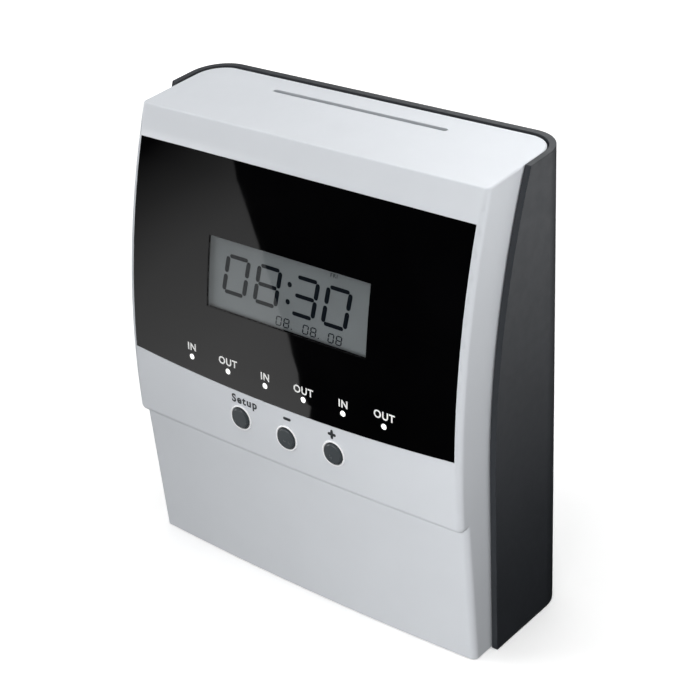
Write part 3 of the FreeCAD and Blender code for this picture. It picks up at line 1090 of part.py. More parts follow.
def make_cassette():
    """Ribbon cassette: case with two arms, lid, ribbon and its rollers."""
    half = "CassetteWide/2"
    rear = f"({CARD}-CassetteRear)"
    front = f"({rear}-CassetteDeep)"
    base = "CassetteBase"
    top = "(CassetteBase+CassetteHigh)"
    wall = "CassetteWall"
    block = wide_box("case_block", half, (front, rear), (base, top))
    arm_x = ("ArmSpan/2-ArmWide", "ArmSpan/2")
    arm = fuse("case_arm",
               box("arm_tip", arm_x, (f"{rear}-1", f"{CARD}-RibbonAhead-RibbonThick-0.3"),
                   (f"{base}-ArmDrop", "BandHigh-0.5")),
               box("arm_root", arm_x, (f"{rear}-1", f"{GUIDE_FRONT}-GuideThick-0.8"),
                   ("BandHigh-1", f"{base}+4")))
    hollow = wide_box("case_hollow", f"{half}-{wall}", (f"{front}+{wall}", f"{rear}-{wall}"),
                      (f"{base}+{wall}", f"{top}+1"))
    knob_y = f"({rear}-CassetteDeep/2)"
    part("cassette_case", cut("case", fuse("case_solid", block, both_sides("case_arms", arm)),
                              hollow))
    lid = wide_box("lid_plate", half, (front, rear), (top, f"{top}+1.2"))
    knob_hole = rod("lid_hole", "DriveRollerRad+0.5", "z", f"{top}-1", f"{top}+3",
                    "KnobSide", knob_y)
    part("cassette_lid", cut("lid", lid, knob_hole))
    ribbon_y = (f"{CARD}-RibbonAhead-RibbonThick", f"{CARD}-RibbonAhead")
    strip = wide_box("ribbon_strip", "ArmSpan/2", ribbon_y,
                     ("PrintHigh-RibbonHigh/2", "PrintHigh+RibbonHigh/2"))
    pack = box("ribbon_pack", (f"-{half}+{wall}+8", "KnobSide-KnobRad-10"),
               (f"{front}+{wall}+1", f"{rear}-{wall}-1"),
               (f"{base}+{wall}", f"{base}+{wall}+RibbonHigh"))
    part("ribbon", group("ribbon_run_and_pack", strip, pack))
    roller_z = f"{base}+{wall}+0.3"
    roller = rod("ribbon_roller", "DriveRollerRad", "z", roller_z, f"{top}+1.6",
                 "KnobSide", knob_y)
    cap = rod("knob_cap", "KnobRad", "z", f"{top}+1.5", f"{top}+1.5+KnobHigh", "KnobSide", knob_y)
    grip = wide_box("knob_grip", "1", ("-KnobRad+1.5", "KnobRad-1.5"), ("0", "2"))
    place(grip, "KnobSide-1", f"{knob_y}-KnobRad+1.5", f"{top}+1.4+KnobHigh")
    part("ribbon_knob", fuse("knob", roller, cap, grip))
    part("ribbon_nip_roller", rod("nip_roller", "DriveRollerRad", "z", roller_z, f"{top}-0.4",
                                  "KnobSide+2*DriveRollerRad+0.4", knob_y))


# ---------------------------------------------------------------- display and boards
def make_display():
    """Leaning display board with its glass, bezel, backlight, lights and bracket."""
    back = "(BoardDeep+BoardThick)"
    glass_half = "(WindowWide/2+LcdBorder)"
    glass_high = "(WindowHigh/2+LcdBorder)"
    board = wide_box("display_board_sheet", "BoardWide/2", ("BoardDeep", back),
                     (f"-{BOARD_LOW}", "BoardRise"))
    glass = wide_box("lcd_sheet", glass_half, ("LcdSink", "LcdSink+LcdThick"),
                     (f"-{glass_high}", glass_high))
    part("lcd_glass", lean(glass))
    light = wide_box("backlight_sheet", f"{glass_half}-1",
                     ("LcdSink+LcdThick", "BoardDeep-0.4"), (f"-{glass_high}+1", f"{glass_high}-1"))
    part("lcd_backlight", lean(light))
    frame = cut("bezel_frame",
                wide_box("bezel_outside", f"{glass_half}+2", ("LcdSink+LcdThick-0.6", "BoardDeep"),
                         (f"-{glass_high}-2", f"{glass_high}+2")),
                wide_box("bezel_inside", glass_half, ("0", "LcdSink+LcdThick"),
                         (f"-{glass_high}", glass_high)),
                wide_box("bezel_seat", f"{glass_half}-1", ("0", "BoardDeep+1"),
                         (f"-{glass_high}+1", f"{glass_high}-1")))
    part("lcd_bezel", lean(frame))
    bracket_front = f"({back}+BracketGap)"
    plate = wide_box("bracket_plate", PLATE_HALF,
                     (bracket_front, f"{bracket_front}+BracketThick"),
                     (f"-{BOARD_LOW}", "BoardRise-14"))
    mid_window = wide_box("bracket_window", "30", (f"{bracket_front}-1", f"{bracket_front}+9"),
                          ("-18", "18"))
    standoffs = []
    bores = []
    board_holes = []
    screws = []
    for side in (-1, 1):
        for count, level in enumerate((f"6-{BOARD_LOW}", "BoardRise-20")):
            name = f"{count}_{side + 1}"
            x = f"{side}*(BoardWide/2-8)"
            standoffs.append(rod(f"standoff{name}", "3", "y", back, f"{bracket_front}+0.5",
                                 x, level))
            bores.append(rod(f"standoff_bore{name}", "ScrewRad", "y", f"{back}-1",
                             f"{bracket_front}", x, level))
            screws.append(screw(f"display_screw{name}", "BoardThick+BracketGap-0.2", 1, x,
                                "BoardDeep", level))
            board_holes.append(rod(f"board_hole{name}", "ScrewRad", "y", "BoardDeep-1",
                                   f"{back}+1", x, level))
    part("display_bracket", lean(cut("bracket", fuse("bracket_solid", plate, *standoffs),
                                     mid_window, *bores)))
    part("display_board", lean(cut("display_board_drilled", board, *board_holes)))
    part("display_screws", lean(group("display_screw_set", *screws)))
    lights = [rod(f"led{count}", "LightRad+0.1", "y", "BoardDeep-1.6", "BoardDeep",
                  f"{step}*LightPitch",
                  f"({light_high(step)}-{WINDOW_Z})/cos({TILT})+BoardDeep*sin({TILT})/2")
              for count, step in enumerate(LIGHT_STEPS)]
    part("indicator_leds", lean(group("led_set", *lights)))

    board_y = f"({FRONT}+ButtonBoardDeep)"
    mid = "(ButtonHigh-ButtonSag/2)"
    span = "ButtonBoardWide/2"
    part("button_board", wide_box("button_sheet", span, (board_y, f"{board_y}+BoardThick"),
                                  (f"{mid}-ButtonBoardHigh/2", f"{mid}+ButtonBoardHigh/2")))
    mat = wide_box("mat_sheet", f"{span}-4", (f"{board_y}-MatThick", board_y),
                   (f"{mid}-ButtonBoardHigh/2+2", f"{mid}+ButtonBoardHigh/2-2"))
    domes = [rod(f"{name}_dome", "DomeRad", "y", f"{board_y}-MatThick-DomeHigh",
                 f"{board_y}-MatThick/2", x, z) for name, x, z in BUTTONS]
    part("keypad_mat", fuse("mat", mat, *domes))
    ledge_y = f"({CARD}-ChassisReach)"
    arm = box("button_arm", (f"{PLATE_HALF}", f"{PLATE_HALF}+SheetThick"),
              (f"{board_y}+BoardThick", f"{ledge_y}+12"), (f"{mid}-5", f"{mid}+5"))
    bar = wide_box("button_bar", f"{PLATE_HALF}+SheetThick",
                   (f"{board_y}+BoardThick", f"{board_y}+BoardThick+SheetThick"),
                   (f"{mid}-5", f"{mid}+5"))
    part("button_bracket", fuse("button_bracket_solid", bar, both_sides("button_arms", arm)))


def make_electronics():
    """Main board, mains transformer, backup cells and buzzer in the foot."""
    board_y = f"({CARD}-MainBoardAhead)"
    left = "-MainBoardLeft"
    right = "(MainBoardWide-MainBoardLeft)"
    top = "(MainBoardBase+MainBoardHigh)"
    board = box("main_sheet", (left, right), (board_y, f"{board_y}+BoardThick"),
                ("MainBoardBase", top))
    part("main_board", board)
    feet = [box(f"board_foot{side}", (x, f"{x}+5"), (f"{board_y}-2", f"{board_y}+BoardThick+2"),
                ("HousingFloor", "MainBoardBase+2"))
            for side, x in enumerate((f"({left}+4)", f"({right}-9)"))]
    part("board_clips", cut("clips", group("clip_blocks", *feet),
                            box("clip_slot", (left, right), (board_y, f"{board_y}+BoardThick"),
                                ("MainBoardBase", top))))
    face = f"({board_y}+BoardThick)"
    chips = [box("processor", (f"{left}+30", f"{left}+44"), (face, f"{face}+2"),
                 ("MainBoardBase+18", "MainBoardBase+32")),
             box("driver_chip", (f"{left}+52", f"{left}+70"), (face, f"{face}+3"),
                 ("MainBoardBase+20", "MainBoardBase+27")),
             box("memory_chip", (f"{left}+54", f"{left}+62"), (face, f"{face}+2"),
                 ("MainBoardBase+32", "MainBoardBase+37"))]
    cans = [rod(f"capacitor{count}", radius, "y", face, f"{face}+{tall}", x, z)
            for count, (radius, tall, x, z) in enumerate((("5", 12, f"{left}+12", "MainBoardBase+32"),
                                                          ("4", 10, f"{left}+12", "MainBoardBase+18"),
                                                          ("2.5", 7, f"{left}+24", "MainBoardBase+34")))]
    part("board_components", group("components", *chips, *cans))

    core_x = ("CoreSide-CoreWide/2", "CoreSide+CoreWide/2")
    core_y = (f"({CARD}-CoreAhead-CoreDeep/2)", f"({CARD}-CoreAhead+CoreDeep/2)")
    core = box("core_block", core_x, core_y, ("HousingFloor", "HousingFloor+CoreHigh"))
    limb = "CoreWide/6"
    window_z = (f"HousingFloor+{limb}", f"HousingFloor+CoreHigh-{limb}")
    through = (f"{core_y[0]}-1", f"{core_y[1]}+1")
    windows = [box(f"core_window{side + 1}",
                   (f"CoreSide+({3 * side - 1})*CoreWide/12", f"CoreSide+({3 * side + 1})*CoreWide/12"),
                   through, window_z) for side in (-1, 1)]
    part("transformer_core", cut("core", core, *windows))
    coil = box("coil_block", ("CoreSide-CoreWide/3", "CoreSide+CoreWide/3"),
               (f"{core_y[0]}-6", f"{core_y[1]}+6"), window_z)
    middle = box("coil_middle", ("CoreSide-CoreWide/6", "CoreSide+CoreWide/6"),
                 core_y, ("0", "HousingFloor+CoreHigh"))
    part("transformer_winding", cut("winding", coil, middle))

    cell_y = f"({CARD}-16)"
    cells = [rod(f"cell{count}", "CellRad", "x", f"-CellLong-12+{count}*CellLong/3",
                 f"-CellLong-12+{count + 1}*CellLong/3-0.3", cell_y, "HousingFloor+CellRad")
             for count in range(3)]
    part("backup_battery", group("cells", *cells))
    part("buzzer", rod("buzzer_can", "6", "z", "HousingFloor", "HousingFloor+7.5",
                       "4", f"({CARD}-16)"))


make_housing()
make_inlet()
make_cover()
make_panel()
for node, across, up in BUTTONS:
    make_button(node, across, up)
make_chassis()
make_guides()
make_feed()
make_printer()
make_cassette()
make_display()
make_electronics()

# ---------------------------------------------------------------- check and write
doc.recompute()
failed = [item.Name for item in doc.Objects if {"Invalid", "Error"} & set(item.State)]
if failed:
    raise SystemExit(f"failed objects: {failed}")
os.makedirs("parts", exist_ok=True)
for item in parts:
    shape = item.Shape
    if shape.isNull() or not shape.isValid() or not shape.Solids:
        raise SystemExit(f"bad shape: {item.Label}")
for item in parts:
    item.Shape.exportStep(f"parts/{item.Label}.step")
print(len(parts), "sub-parts written")
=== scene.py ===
"""Looks, printed marks, studio and camera for the card time recorder."""
import math

import bmesh
import bpy
from mathutils import Matrix, Vector


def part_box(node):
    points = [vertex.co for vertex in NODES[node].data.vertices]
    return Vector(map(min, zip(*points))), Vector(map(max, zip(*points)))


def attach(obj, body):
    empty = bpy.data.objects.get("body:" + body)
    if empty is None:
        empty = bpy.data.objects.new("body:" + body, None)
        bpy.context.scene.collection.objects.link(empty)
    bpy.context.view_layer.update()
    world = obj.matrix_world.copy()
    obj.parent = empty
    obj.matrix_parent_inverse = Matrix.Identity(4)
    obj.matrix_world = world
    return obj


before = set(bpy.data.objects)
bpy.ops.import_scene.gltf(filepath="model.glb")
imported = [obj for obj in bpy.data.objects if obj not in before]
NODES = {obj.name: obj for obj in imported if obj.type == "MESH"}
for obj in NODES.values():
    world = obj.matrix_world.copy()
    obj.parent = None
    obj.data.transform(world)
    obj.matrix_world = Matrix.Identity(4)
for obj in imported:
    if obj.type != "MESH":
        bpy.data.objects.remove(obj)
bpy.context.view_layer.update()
MM = 0.001

# ------------------------------------------------------------------ camera
CAMERA_AT = (0.41645, -0.47769, 0.44333)
CAMERA_YAW, CAMERA_PITCH, CAMERA_ROLL = 40.59, 27.93, -3.18
CAMERA_LENS = 86.14


def make_camera():
    """Long lens from above the right front, with no shift and no depth of field."""
    yaw, pitch, roll = (math.radians(a) for a in (CAMERA_YAW, CAMERA_PITCH, CAMERA_ROLL))
    back = Vector((math.sin(yaw) * math.cos(pitch), -math.cos(yaw) * math.cos(pitch),
                   math.sin(pitch)))
    level = Vector((math.cos(yaw), math.sin(yaw), 0))
    rise = back.cross(level)
    right = level * math.cos(roll) + rise * math.sin(roll)
    up = rise * math.cos(roll) - level * math.sin(roll)
    data = bpy.data.cameras.new("camera")
    data.lens = CAMERA_LENS
    data.sensor_width = 36
    data.clip_start, data.clip_end = 0.02, 50
    camera = bpy.data.objects.new("camera", data)
    camera.matrix_world = Matrix.Translation(CAMERA_AT) @ Matrix(
        (right, up, back)).transposed().to_4x4()
    bpy.context.scene.collection.objects.link(camera)
    bpy.context.scene.camera = camera


make_camera()


# ------------------------------------------------------------------ materials
class Nodes:
    """A new node material, with short calls for adding and joining nodes."""

    def __init__(self, name):
        self.material = bpy.data.materials.new(name)
        self.material.use_nodes = True
        self.tree = self.material.node_tree
        self.shader = self.tree.nodes["Principled BSDF"]
        self.output = self.tree.nodes["Material Output"]

    def add(self, kind, inputs=None, **settings):
        node = self.tree.nodes.new(kind)
        for key, value in settings.items():
            setattr(node, key, value)
        for key, value in (inputs or {}).items():
            self.feed(node, key, value)
        return node

    def feed(self, node, key, value):
        socket = node.inputs[key]
        if isinstance(value, bpy.types.NodeSocket):
            self.tree.links.new(value, socket)
        else:
            socket.default_value = value

    def place(self, stretch=(1, 1, 1)):
        """Object coordinates, stretched along the axes."""
        where = self.add("ShaderNodeTexCoord").outputs["Object"]
        if tuple(stretch) == (1, 1, 1):
            return where
        return self.add("ShaderNodeMapping",
                        {"Vector": where, "Scale": stretch}).outputs["Vector"]

    def noise(self, scale, detail=3.0, stretch=(1, 1, 1), rough=0.55):
        return self.add("ShaderNodeTexNoise",
                        {"Vector": self.place(stretch), "Scale": scale, "Detail": detail,
                         "Roughness": rough}).outputs["Fac"]

    def spread(self, value, low, high, from_low=0.3, from_high=0.7):
        """A noise value carried to the range low to high."""
        return self.add("ShaderNodeMapRange",
                        {"Value": value, "From Min": from_low, "From Max": from_high,
                         "To Min": low, "To Max": high}).outputs["Result"]

    def blend(self, share, first, second):
        mix = self.add("ShaderNodeMix", data_type="RGBA")
        self.feed(mix, "Factor", share)
        self.feed(mix, 6, (*first, 1) if len(first) == 3 else first)
        self.feed(mix, 7, (*second, 1) if len(second) == 3 else second)
        return mix.outputs[2]

    def dent(self, height, distance, normal=None, strength=1.0):
        bump = self.add("ShaderNodeBump",
                        {"Height": height, "Distance": distance, "Strength": strength})
        if normal is not None:
            self.feed(bump, "Normal", normal)
        return bump.outputs["Normal"]

    def soft_edge(self, radius):
        return self.add("ShaderNodeBevel", {"Radius": radius}, samples=4).outputs["Normal"]

    def set(self, **values):
        for key, value in values.items():
            self.feed(self.shader, key.replace("_", " "), value)
        return self.material


def shade(colour, factor):
    return tuple(min(1.0, c * factor) for c in colour)


def moulded(name, colour, rough, grain=2600, depth=0.000012, mottle=0.05, edge=0.00025,
            specular=0.5, streak=False):
    """Moulded plastic: faint flow mottling, a fine eroded grain and softened edges."""
    n = Nodes(name)
    cloud = n.noise(38, 2.0)
    fine = n.noise(grain, 2.0)
    normal = n.soft_edge(edge) if edge else None
    n.set(Base_Color=n.blend(n.spread(cloud, 0, 1), shade(colour, 1 - mottle),
                             shade(colour, 1 + mottle)),
          Roughness=n.spread(n.noise(240, 3.0), rough - 0.04, rough + 0.05),
          Normal=n.dent(fine, depth, normal))
    n.shader.inputs["Specular IOR Level"].default_value = specular
    if streak:
        wear = n.noise(90, 5.0, (1, 1, 0.12))
        n.set(Roughness=n.spread(wear, rough - 0.06, rough + 0.07))
    return n.material


def brushed(name, colour, rough, along="x", tone=0.12, metallic=0.55):
    """Rolled or ground metal with fine lines along one axis."""
    stretch = {"x": (0.03, 1, 1), "y": (1, 0.03, 1), "z": (1, 1, 0.03)}[along]
    n = Nodes(name)
    lines = n.noise(900, 4.0, stretch)
    stain = n.noise(60, 4.0)
    n.set(Base_Color=n.blend(n.spread(stain, 0, 1), shade(colour, 1 - tone),
                             shade(colour, 1 + tone / 2)),
          Roughness=n.spread(lines, rough - 0.08, rough + 0.12),
          Normal=n.dent(lines, 0.00001, n.soft_edge(0.0002)))
    n.shader.inputs["Metallic"].default_value = metallic
    return n.material


def rubbery(name, colour, rough=0.75):
    n = Nodes(name)
    dust = n.noise(420, 5.0)
    n.set(Base_Color=n.blend(n.spread(dust, 0, 1), shade(colour, 0.8), shade(colour, 1.5)),
          Roughness=n.spread(dust, rough - 0.08, rough + 0.08),
          Normal=n.dent(dust, 0.00004, n.soft_edge(0.0003)))
    return n.material


def board_like(name, mask, copper):
    """Circuit board: solder mask over a grid of broken tracks."""
    n = Nodes(name)
    track = n.add("ShaderNodeTexBrick",
                  {"Vector": n.place(), "Scale": 160.0, "Mortar Size": 0.012,
                   "Color1": (0, 0, 0, 1), "Color2": (0.15, 0.15, 0.15, 1),
                   "Mortar": (1, 1, 1, 1)}).outputs["Color"]
    breaks = n.spread(n.noise(220, 1.0), 0, 1, 0.45, 0.5)
    shown = n.add("ShaderNodeMath", {0: track, 1: breaks}, operation="MULTIPLY").outputs[0]
    n.set(Base_Color=n.blend(shown, mask, copper),
          Roughness=n.spread(n.noise(300, 2.0), 0.25, 0.4),
          Normal=n.dent(shown, 0.00004))
    return n.material


def panel_gloss():
    """Black acrylic sheet with a hard gloss and the faintest rubbing."""
    n = Nodes("panel_gloss")
    haze = n.noise(26, 5.0)
    n.set(Base_Color=n.blend(n.spread(haze, 0, 1), (0.0008, 0.0008, 0.0010),
                             (0.0016, 0.0016, 0.0019)),
          Roughness=n.spread(haze, 0.012, 0.03),
          Normal=n.soft_edge(0.0002))
    return n.material


def clear_window():
    """Clear acrylic that lets the lamps through to the display behind it."""
    n = Nodes("clear_window")
    haze = n.noise(40, 4.0)
    n.set(Base_Color=(0.93, 0.95, 0.95, 1), IOR=1.46, Transmission_Weight=1.0,
          Roughness=n.spread(haze, 0.0, 0.02))
    clear = n.add("ShaderNodeBsdfTransparent", {"Color": (0.9, 0.92, 0.92, 1)})
    path = n.add("ShaderNodeLightPath")
    mix = n.add("ShaderNodeMixShader", {"Fac": path.outputs["Is Shadow Ray"]})
    n.tree.links.new(n.shader.outputs[0], mix.inputs[1])
    n.tree.links.new(clear.outputs[0], mix.inputs[2])
    n.tree.links.new(mix.outputs[0], n.output.inputs["Surface"])
    return n.material


def display_cell():
    """Reflective liquid crystal cell: plain grey with the faintest cloud."""
    n = Nodes("display_cell")
    cloud = n.noise(30, 2.0)
    fine = n.noise(4000, 1.0)
    n.set(Base_Color=n.blend(n.spread(cloud, 0, 1), (0.235, 0.242, 0.250),
                             (0.270, 0.279, 0.289)),
          Roughness=n.spread(fine, 0.4, 0.5),
          Normal=n.dent(fine, 0.000004))
    n.shader.inputs["Specular IOR Level"].default_value = 0.2
    return n.material


def glowing(name, colour, strength):
    n = Nodes(name)
    spot = n.noise(900, 2.0)
    n.set(Base_Color=n.blend(n.spread(spot, 0, 1), shade(colour, 0.94), colour),
          Roughness=n.spread(spot, 0.25, 0.35), Emission_Color=(*colour, 1),
          Emission_Strength=strength)
    return n.material


def printed(name, colour, rough=0.5, specular=0.5):
    """Screen-printed ink with a slightly uneven coat."""
    n = Nodes(name)
    n.shader.inputs["Specular IOR Level"].default_value = specular
    coat = n.noise(3500, 3.0)
    n.set(Base_Color=n.blend(n.spread(coat, 0, 1), shade(colour, 0.93), shade(colour, 1.04)),
          Roughness=n.spread(coat, rough - 0.05, rough + 0.08),
          Normal=n.dent(coat, 0.000004))
    return n.material


def woven(name, colour):
    """Inked nylon ribbon."""
    n = Nodes(name)
    warp = n.add("ShaderNodeTexWave", {"Vector": n.place(), "Scale": 900.0,
                                       "Distortion": 1.0}).outputs["Fac"]
    weft = n.add("ShaderNodeTexWave", {"Vector": n.place(), "Scale": 900.0, "Distortion": 1.0},
                 bands_direction="Z").outputs["Fac"]
    cloth = n.add("ShaderNodeMath", {0: warp, 1: weft}, operation="MAXIMUM").outputs[0]
    n.set(Base_Color=n.blend(cloth, shade(colour, 0.6), shade(colour, 1.5)),
          Roughness=n.spread(cloth, 0.8, 0.65, 0, 1), Normal=n.dent(cloth, 0.00005))
    return n.material


def wound(name, colour):
    """Yellow insulating tape over a coil, in overlapping turns."""
    n = Nodes(name)
    turns = n.add("ShaderNodeTexWave", {"Vector": n.place(), "Scale": 45.0, "Distortion": 0.4},
                  bands_direction="Z", wave_profile="SAW").outputs["Fac"]
    n.set(Base_Color=n.blend(turns, shade(colour, 0.75), shade(colour, 1.2)),
          Roughness=n.spread(turns, 0.25, 0.4, 0, 1), Normal=n.dent(turns, 0.0001))
    return n.material


def laminated(name, colour):
    """Varnished transformer plates, stacked along the depth."""
    n = Nodes(name)
    plates = n.add("ShaderNodeTexWave", {"Vector": n.place(), "Scale": 320.0,
                                         "Distortion": 0.3},
                   bands_direction="Y").outputs["Fac"]
    n.set(Base_Color=n.blend(plates, shade(colour, 0.6), shade(colour, 1.5)),
          Roughness=n.spread(plates, 0.35, 0.5, 0, 1), Normal=n.dent(plates, 0.00006))
    n.shader.inputs["Metallic"].default_value = 0.6
    return n.material


COVER = moulded("cover_plastic", (0.66, 0.685, 0.72), 0.42, mottle=0.012, depth=0.000006,
                edge=0.0003)
HOUSING = moulded("housing_plastic", (0.030, 0.033, 0.038), 0.46, depth=0.00002, mottle=0.06,
                  edge=0.0005, specular=0.42)
BUTTON = moulded("button_plastic", (0.052, 0.060, 0.066), 0.24, mottle=0.05, edge=0.0002)
# Near white, much lighter than the cover it belongs to: a painted highlight round the button holes.
RIM = moulded("rim_plastic", (0.93, 0.94, 0.96), 0.12, mottle=0.02, edge=0)
GUIDE = moulded("guide_plastic", (0.028, 0.028, 0.030), 0.5, mottle=0.1, streak=True)
CREAM = moulded("mechanism_plastic", (0.70, 0.67, 0.58), 0.45, mottle=0.05)
CASSETTE = moulded("cassette_plastic", (0.10, 0.105, 0.115), 0.4, mottle=0.08, streak=True)
CHIP = moulded("component_black", (0.022, 0.022, 0.024), 0.55, mottle=0.15)
ZINC = brushed("zinc_sheet", (0.56, 0.57, 0.58), 0.38, "z")
STEEL_X = brushed("ground_steel_x", (0.66, 0.66, 0.68), 0.22, "x")
STEEL_Y = brushed("ground_steel_y", (0.62, 0.62, 0.64), 0.3, "y")
BRASS = brushed("brass", (0.72, 0.53, 0.24), 0.28, "x")
MOTOR = brushed("motor_can", (0.42, 0.43, 0.45), 0.35, "z")
HEAD = brushed("head_casting", (0.30, 0.30, 0.31), 0.5, "x", 0.25)
RUBBER = rubbery("rubber_black", (0.018, 0.018, 0.019))
SILICONE = rubbery("silicone_grey", (0.28, 0.29, 0.30), 0.6)
BOARD = board_like("circuit_board", (0.010, 0.085, 0.030), (0.05, 0.24, 0.09))
PANEL = panel_gloss()
CLEAR = clear_window()
CELL = display_cell()
BACKLIGHT = printed("backlight_white", (0.72, 0.76, 0.76), 0.5)
# The light pipes and the LEDs behind them glow: painted light that makes the pipes show bright
# white.
LIGHT = glowing("light_white", (0.95, 0.95, 0.93), 0.7)
LED = glowing("led_white", (0.85, 0.88, 0.9), 0.3)
CORE = laminated("core_plates", (0.09, 0.09, 0.10))
COIL = wound("coil_tape", (0.55, 0.36, 0.05))
SLEEVE = printed("cell_sleeve", (0.04, 0.22, 0.10), 0.3)
RIBBON = woven("ribbon_ink", (0.016, 0.013, 0.026))
WHITE_INK = printed("white_ink", (0.88, 0.88, 0.87))
DARK_INK = printed("dark_ink", (0.03, 0.033, 0.037))
LCD_INK = printed("display_segment", (0.006, 0.008, 0.012), 0.5, 0.1)
LCD_FAINT = printed("display_small_segment", (0.018, 0.021, 0.026), 0.5, 0.1)

DRESS = {
    COVER: ["front_cover"],
    HOUSING: ["rear_housing"],
    PANEL: ["display_panel"],
    CLEAR: ["display_window"],
    LIGHT: ["indicator_light_pipes"],
    LED: ["indicator_leds"],
    BUTTON: ["setup_button", "minus_button", "plus_button"],
    CELL: ["lcd_glass"],
    BACKLIGHT: ["lcd_backlight"],
    CHIP: ["lcd_bezel", "board_components", "buzzer", "card_sensor"],
    GUIDE: ["card_guide_rear", "card_guide_front_lower", "card_guide_front_upper",
            "print_carriage", "power_inlet", "display_bracket"],
    CREAM: ["feed_gear", "motor_pinion", "pinch_rollers", "drive_pulley", "idler_pulley",
            "ribbon_knob", "ribbon_nip_roller", "board_clips"],
    CASSETTE: ["cassette_case", "cassette_lid"],
    ZINC: ["chassis_frame", "pinch_lever", "motor_bracket", "idler_bracket",
           "button_bracket"],
    STEEL_X: ["feed_shaft", "pinch_pivot_shaft", "pinch_axle", "guide_rods", "hinge_pins"],
    STEEL_Y: ["chassis_screws", "display_screws", "pinch_leaf_spring"],
    BRASS: ["feed_bushes", "inlet_pins"],
    MOTOR: ["feed_motor", "carriage_motor"],
    HEAD: ["print_head"],
    RUBBER: ["platen", "feed_rollers", "carriage_belt"],
    SILICONE: ["keypad_mat"],
    BOARD: ["display_board", "button_board", "main_board"],
    CORE: ["transformer_core"],
    COIL: ["transformer_winding"],
    SLEEVE: ["backup_battery"],
    RIBBON: ["ribbon"],
}
for finish, names in DRESS.items():
    for node_name in names:
        slots = NODES[node_name].data.materials
        slots.clear()
        slots.append(finish)


# ------------------------------------------------------------------ printed marks
def largest_face(node, facing):
    """(centre, normal) of a node's largest flat face that looks roughly along facing."""
    found = [p for p in NODES[node].data.polygons if p.normal.dot(facing) > 0.7]
    best = max(found, key=lambda p: p.area)
    return best.center.copy(), best.normal.copy()


def piece(name, mesh, body, material):
    mesh.materials.clear()
    mesh.materials.append(material)
    item = bpy.data.objects.new(name, mesh)
    bpy.context.scene.collection.objects.link(item)
    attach(item, body)
    return item


def stamp(name, outlines, surface, thick, body, material):
    """Closed thin plates from flat outlines, laid on a surface(u, v, lift)."""
    bm = bmesh.new()
    for outline in outlines:
        front = [bm.verts.new(surface(u, v, thick)) for u, v in outline]
        back = [bm.verts.new(surface(u, v, 0)) for u, v in outline]
        bm.faces.new(front)
        bm.faces.new(list(reversed(back)))
        for i in range(len(outline)):
            j = (i + 1) % len(outline)
            bm.faces.new((front[j], front[i], back[i], back[j]))
    bmesh.ops.recalc_face_normals(bm, faces=bm.faces)
    mesh = bpy.data.meshes.new(name)
    bm.to_mesh(mesh)
    bm.free()
    return piece(name, mesh, body, material)


def lettering(name, words, size, surface, centre, thick, body, material,
              spacing=1.0, bolder=0.0):
    """Letters as thin closed plates, centred on a point of surface(u, v, lift)."""
    curve = bpy.data.curves.new(name, "FONT")
    curve.body = words
    curve.size = size
    curve.space_character = spacing
    curve.offset = bolder
    curve.align_x, curve.align_y = "CENTER", "CENTER"
    curve.extrude = thick / 2
    curve.resolution_u = 6
    maker = bpy.data.objects.new(name + "_maker", curve)
    bpy.context.scene.collection.objects.link(maker)
    bpy.context.view_layer.update()
    mesh = bpy.data.meshes.new_from_object(maker)
    bpy.data.objects.remove(maker)
    bpy.data.curves.remove(curve)
    mesh.name = name
    bm = bmesh.new()
    bm.from_mesh(mesh)
    bmesh.ops.remove_doubles(bm, verts=bm.verts, dist=1e-7)
    high = max(v.co.y for v in bm.verts)
    low = min(v.co.y for v in bm.verts)
    wide = (max(v.co.x for v in bm.verts) + min(v.co.x for v in bm.verts)) / 2
    for v in bm.verts:
        v.co = surface(centre[0] + v.co.x - wide, centre[1] + v.co.y - (high + low) / 2,
                       v.co.z + thick / 2)
    bmesh.ops.recalc_face_normals(bm, faces=bm.faces)
    bm.to_mesh(mesh)
    bm.free()
    return piece(name, mesh, body, material)


def bar(start, end, width, steps=5):
    """Outline of a round-ended stroke."""
    start, end = Vector(start), Vector(end)
    along = (end - start).normalized()
    aside = Vector((-along.y, along.x))
    half = width / 2
    outline = []
    for centre, first in ((end, -90), (start, 90)):
        for k in range(steps + 1):
            turn = math.radians(first + 180 * k / steps)
            outline.append(tuple(centre + along * (half * math.cos(turn))
                                 + aside * (half * math.sin(turn))))
    return outline


def disc(u, v, radius, steps=16):
    return [(u + radius * math.cos(2 * math.pi * k / steps),
             v + radius * math.sin(2 * math.pi * k / steps)) for k in range(steps)]


SEGMENTS = {"0": "abcdef", "3": "abgcd", "8": "abcdefg"}
JOINT_GAP = 0.68  # of an upright stroke's width, from a corner to a stroke's end


def segment_digit(digit, u, v, wide, high, upright, level, slant):
    """Outlines of one seven-segment figure centred on (u, v)."""
    left, right = -wide / 2, wide / 2
    top, low = high / 2, -high / 2
    gap = upright * JOINT_GAP
    ends = {"a": ((left + gap, top), (right - gap, top)),
            "b": ((right, top - gap), (right, gap)),
            "c": ((right, -gap), (right, low + gap)),
            "d": ((left + gap, low), (right - gap, low)),
            "e": ((left, -gap), (left, low + gap)),
            "f": ((left, top - gap), (left, gap)),
            "g": ((left + gap, 0), (right - gap, 0))}
    lines = []
    for key in SEGMENTS[digit]:
        start, end = [(u + a + b * slant, v + b) for a, b in ends[key]]
        lines.append(bar(start, end, level if key in "adg" else upright))
    return lines


def circle_through(first, second, third):
    """Centre and radius of the circle through three (y, z) points."""
    (ax, ay), (bx, by), (cx, cy) = first, second, third
    d = 2 * (ax * (by - cy) + bx * (cy - ay) + cx * (ay - by))
    ux = ((ax * ax + ay * ay) * (by - cy) + (bx * bx + by * by) * (cy - ay)
          + (cx * cx + cy * cy) * (ay - by)) / d
    uy = ((ax * ax + ay * ay) * (cx - bx) + (bx * bx + by * by) * (ax - cx)
          + (cx * cx + cy * cy) * (bx - ax)) / d
    return ux, uy, math.hypot(ax - ux, ay - uy)


PANEL_EDGE_BAND = 0.6 * MM


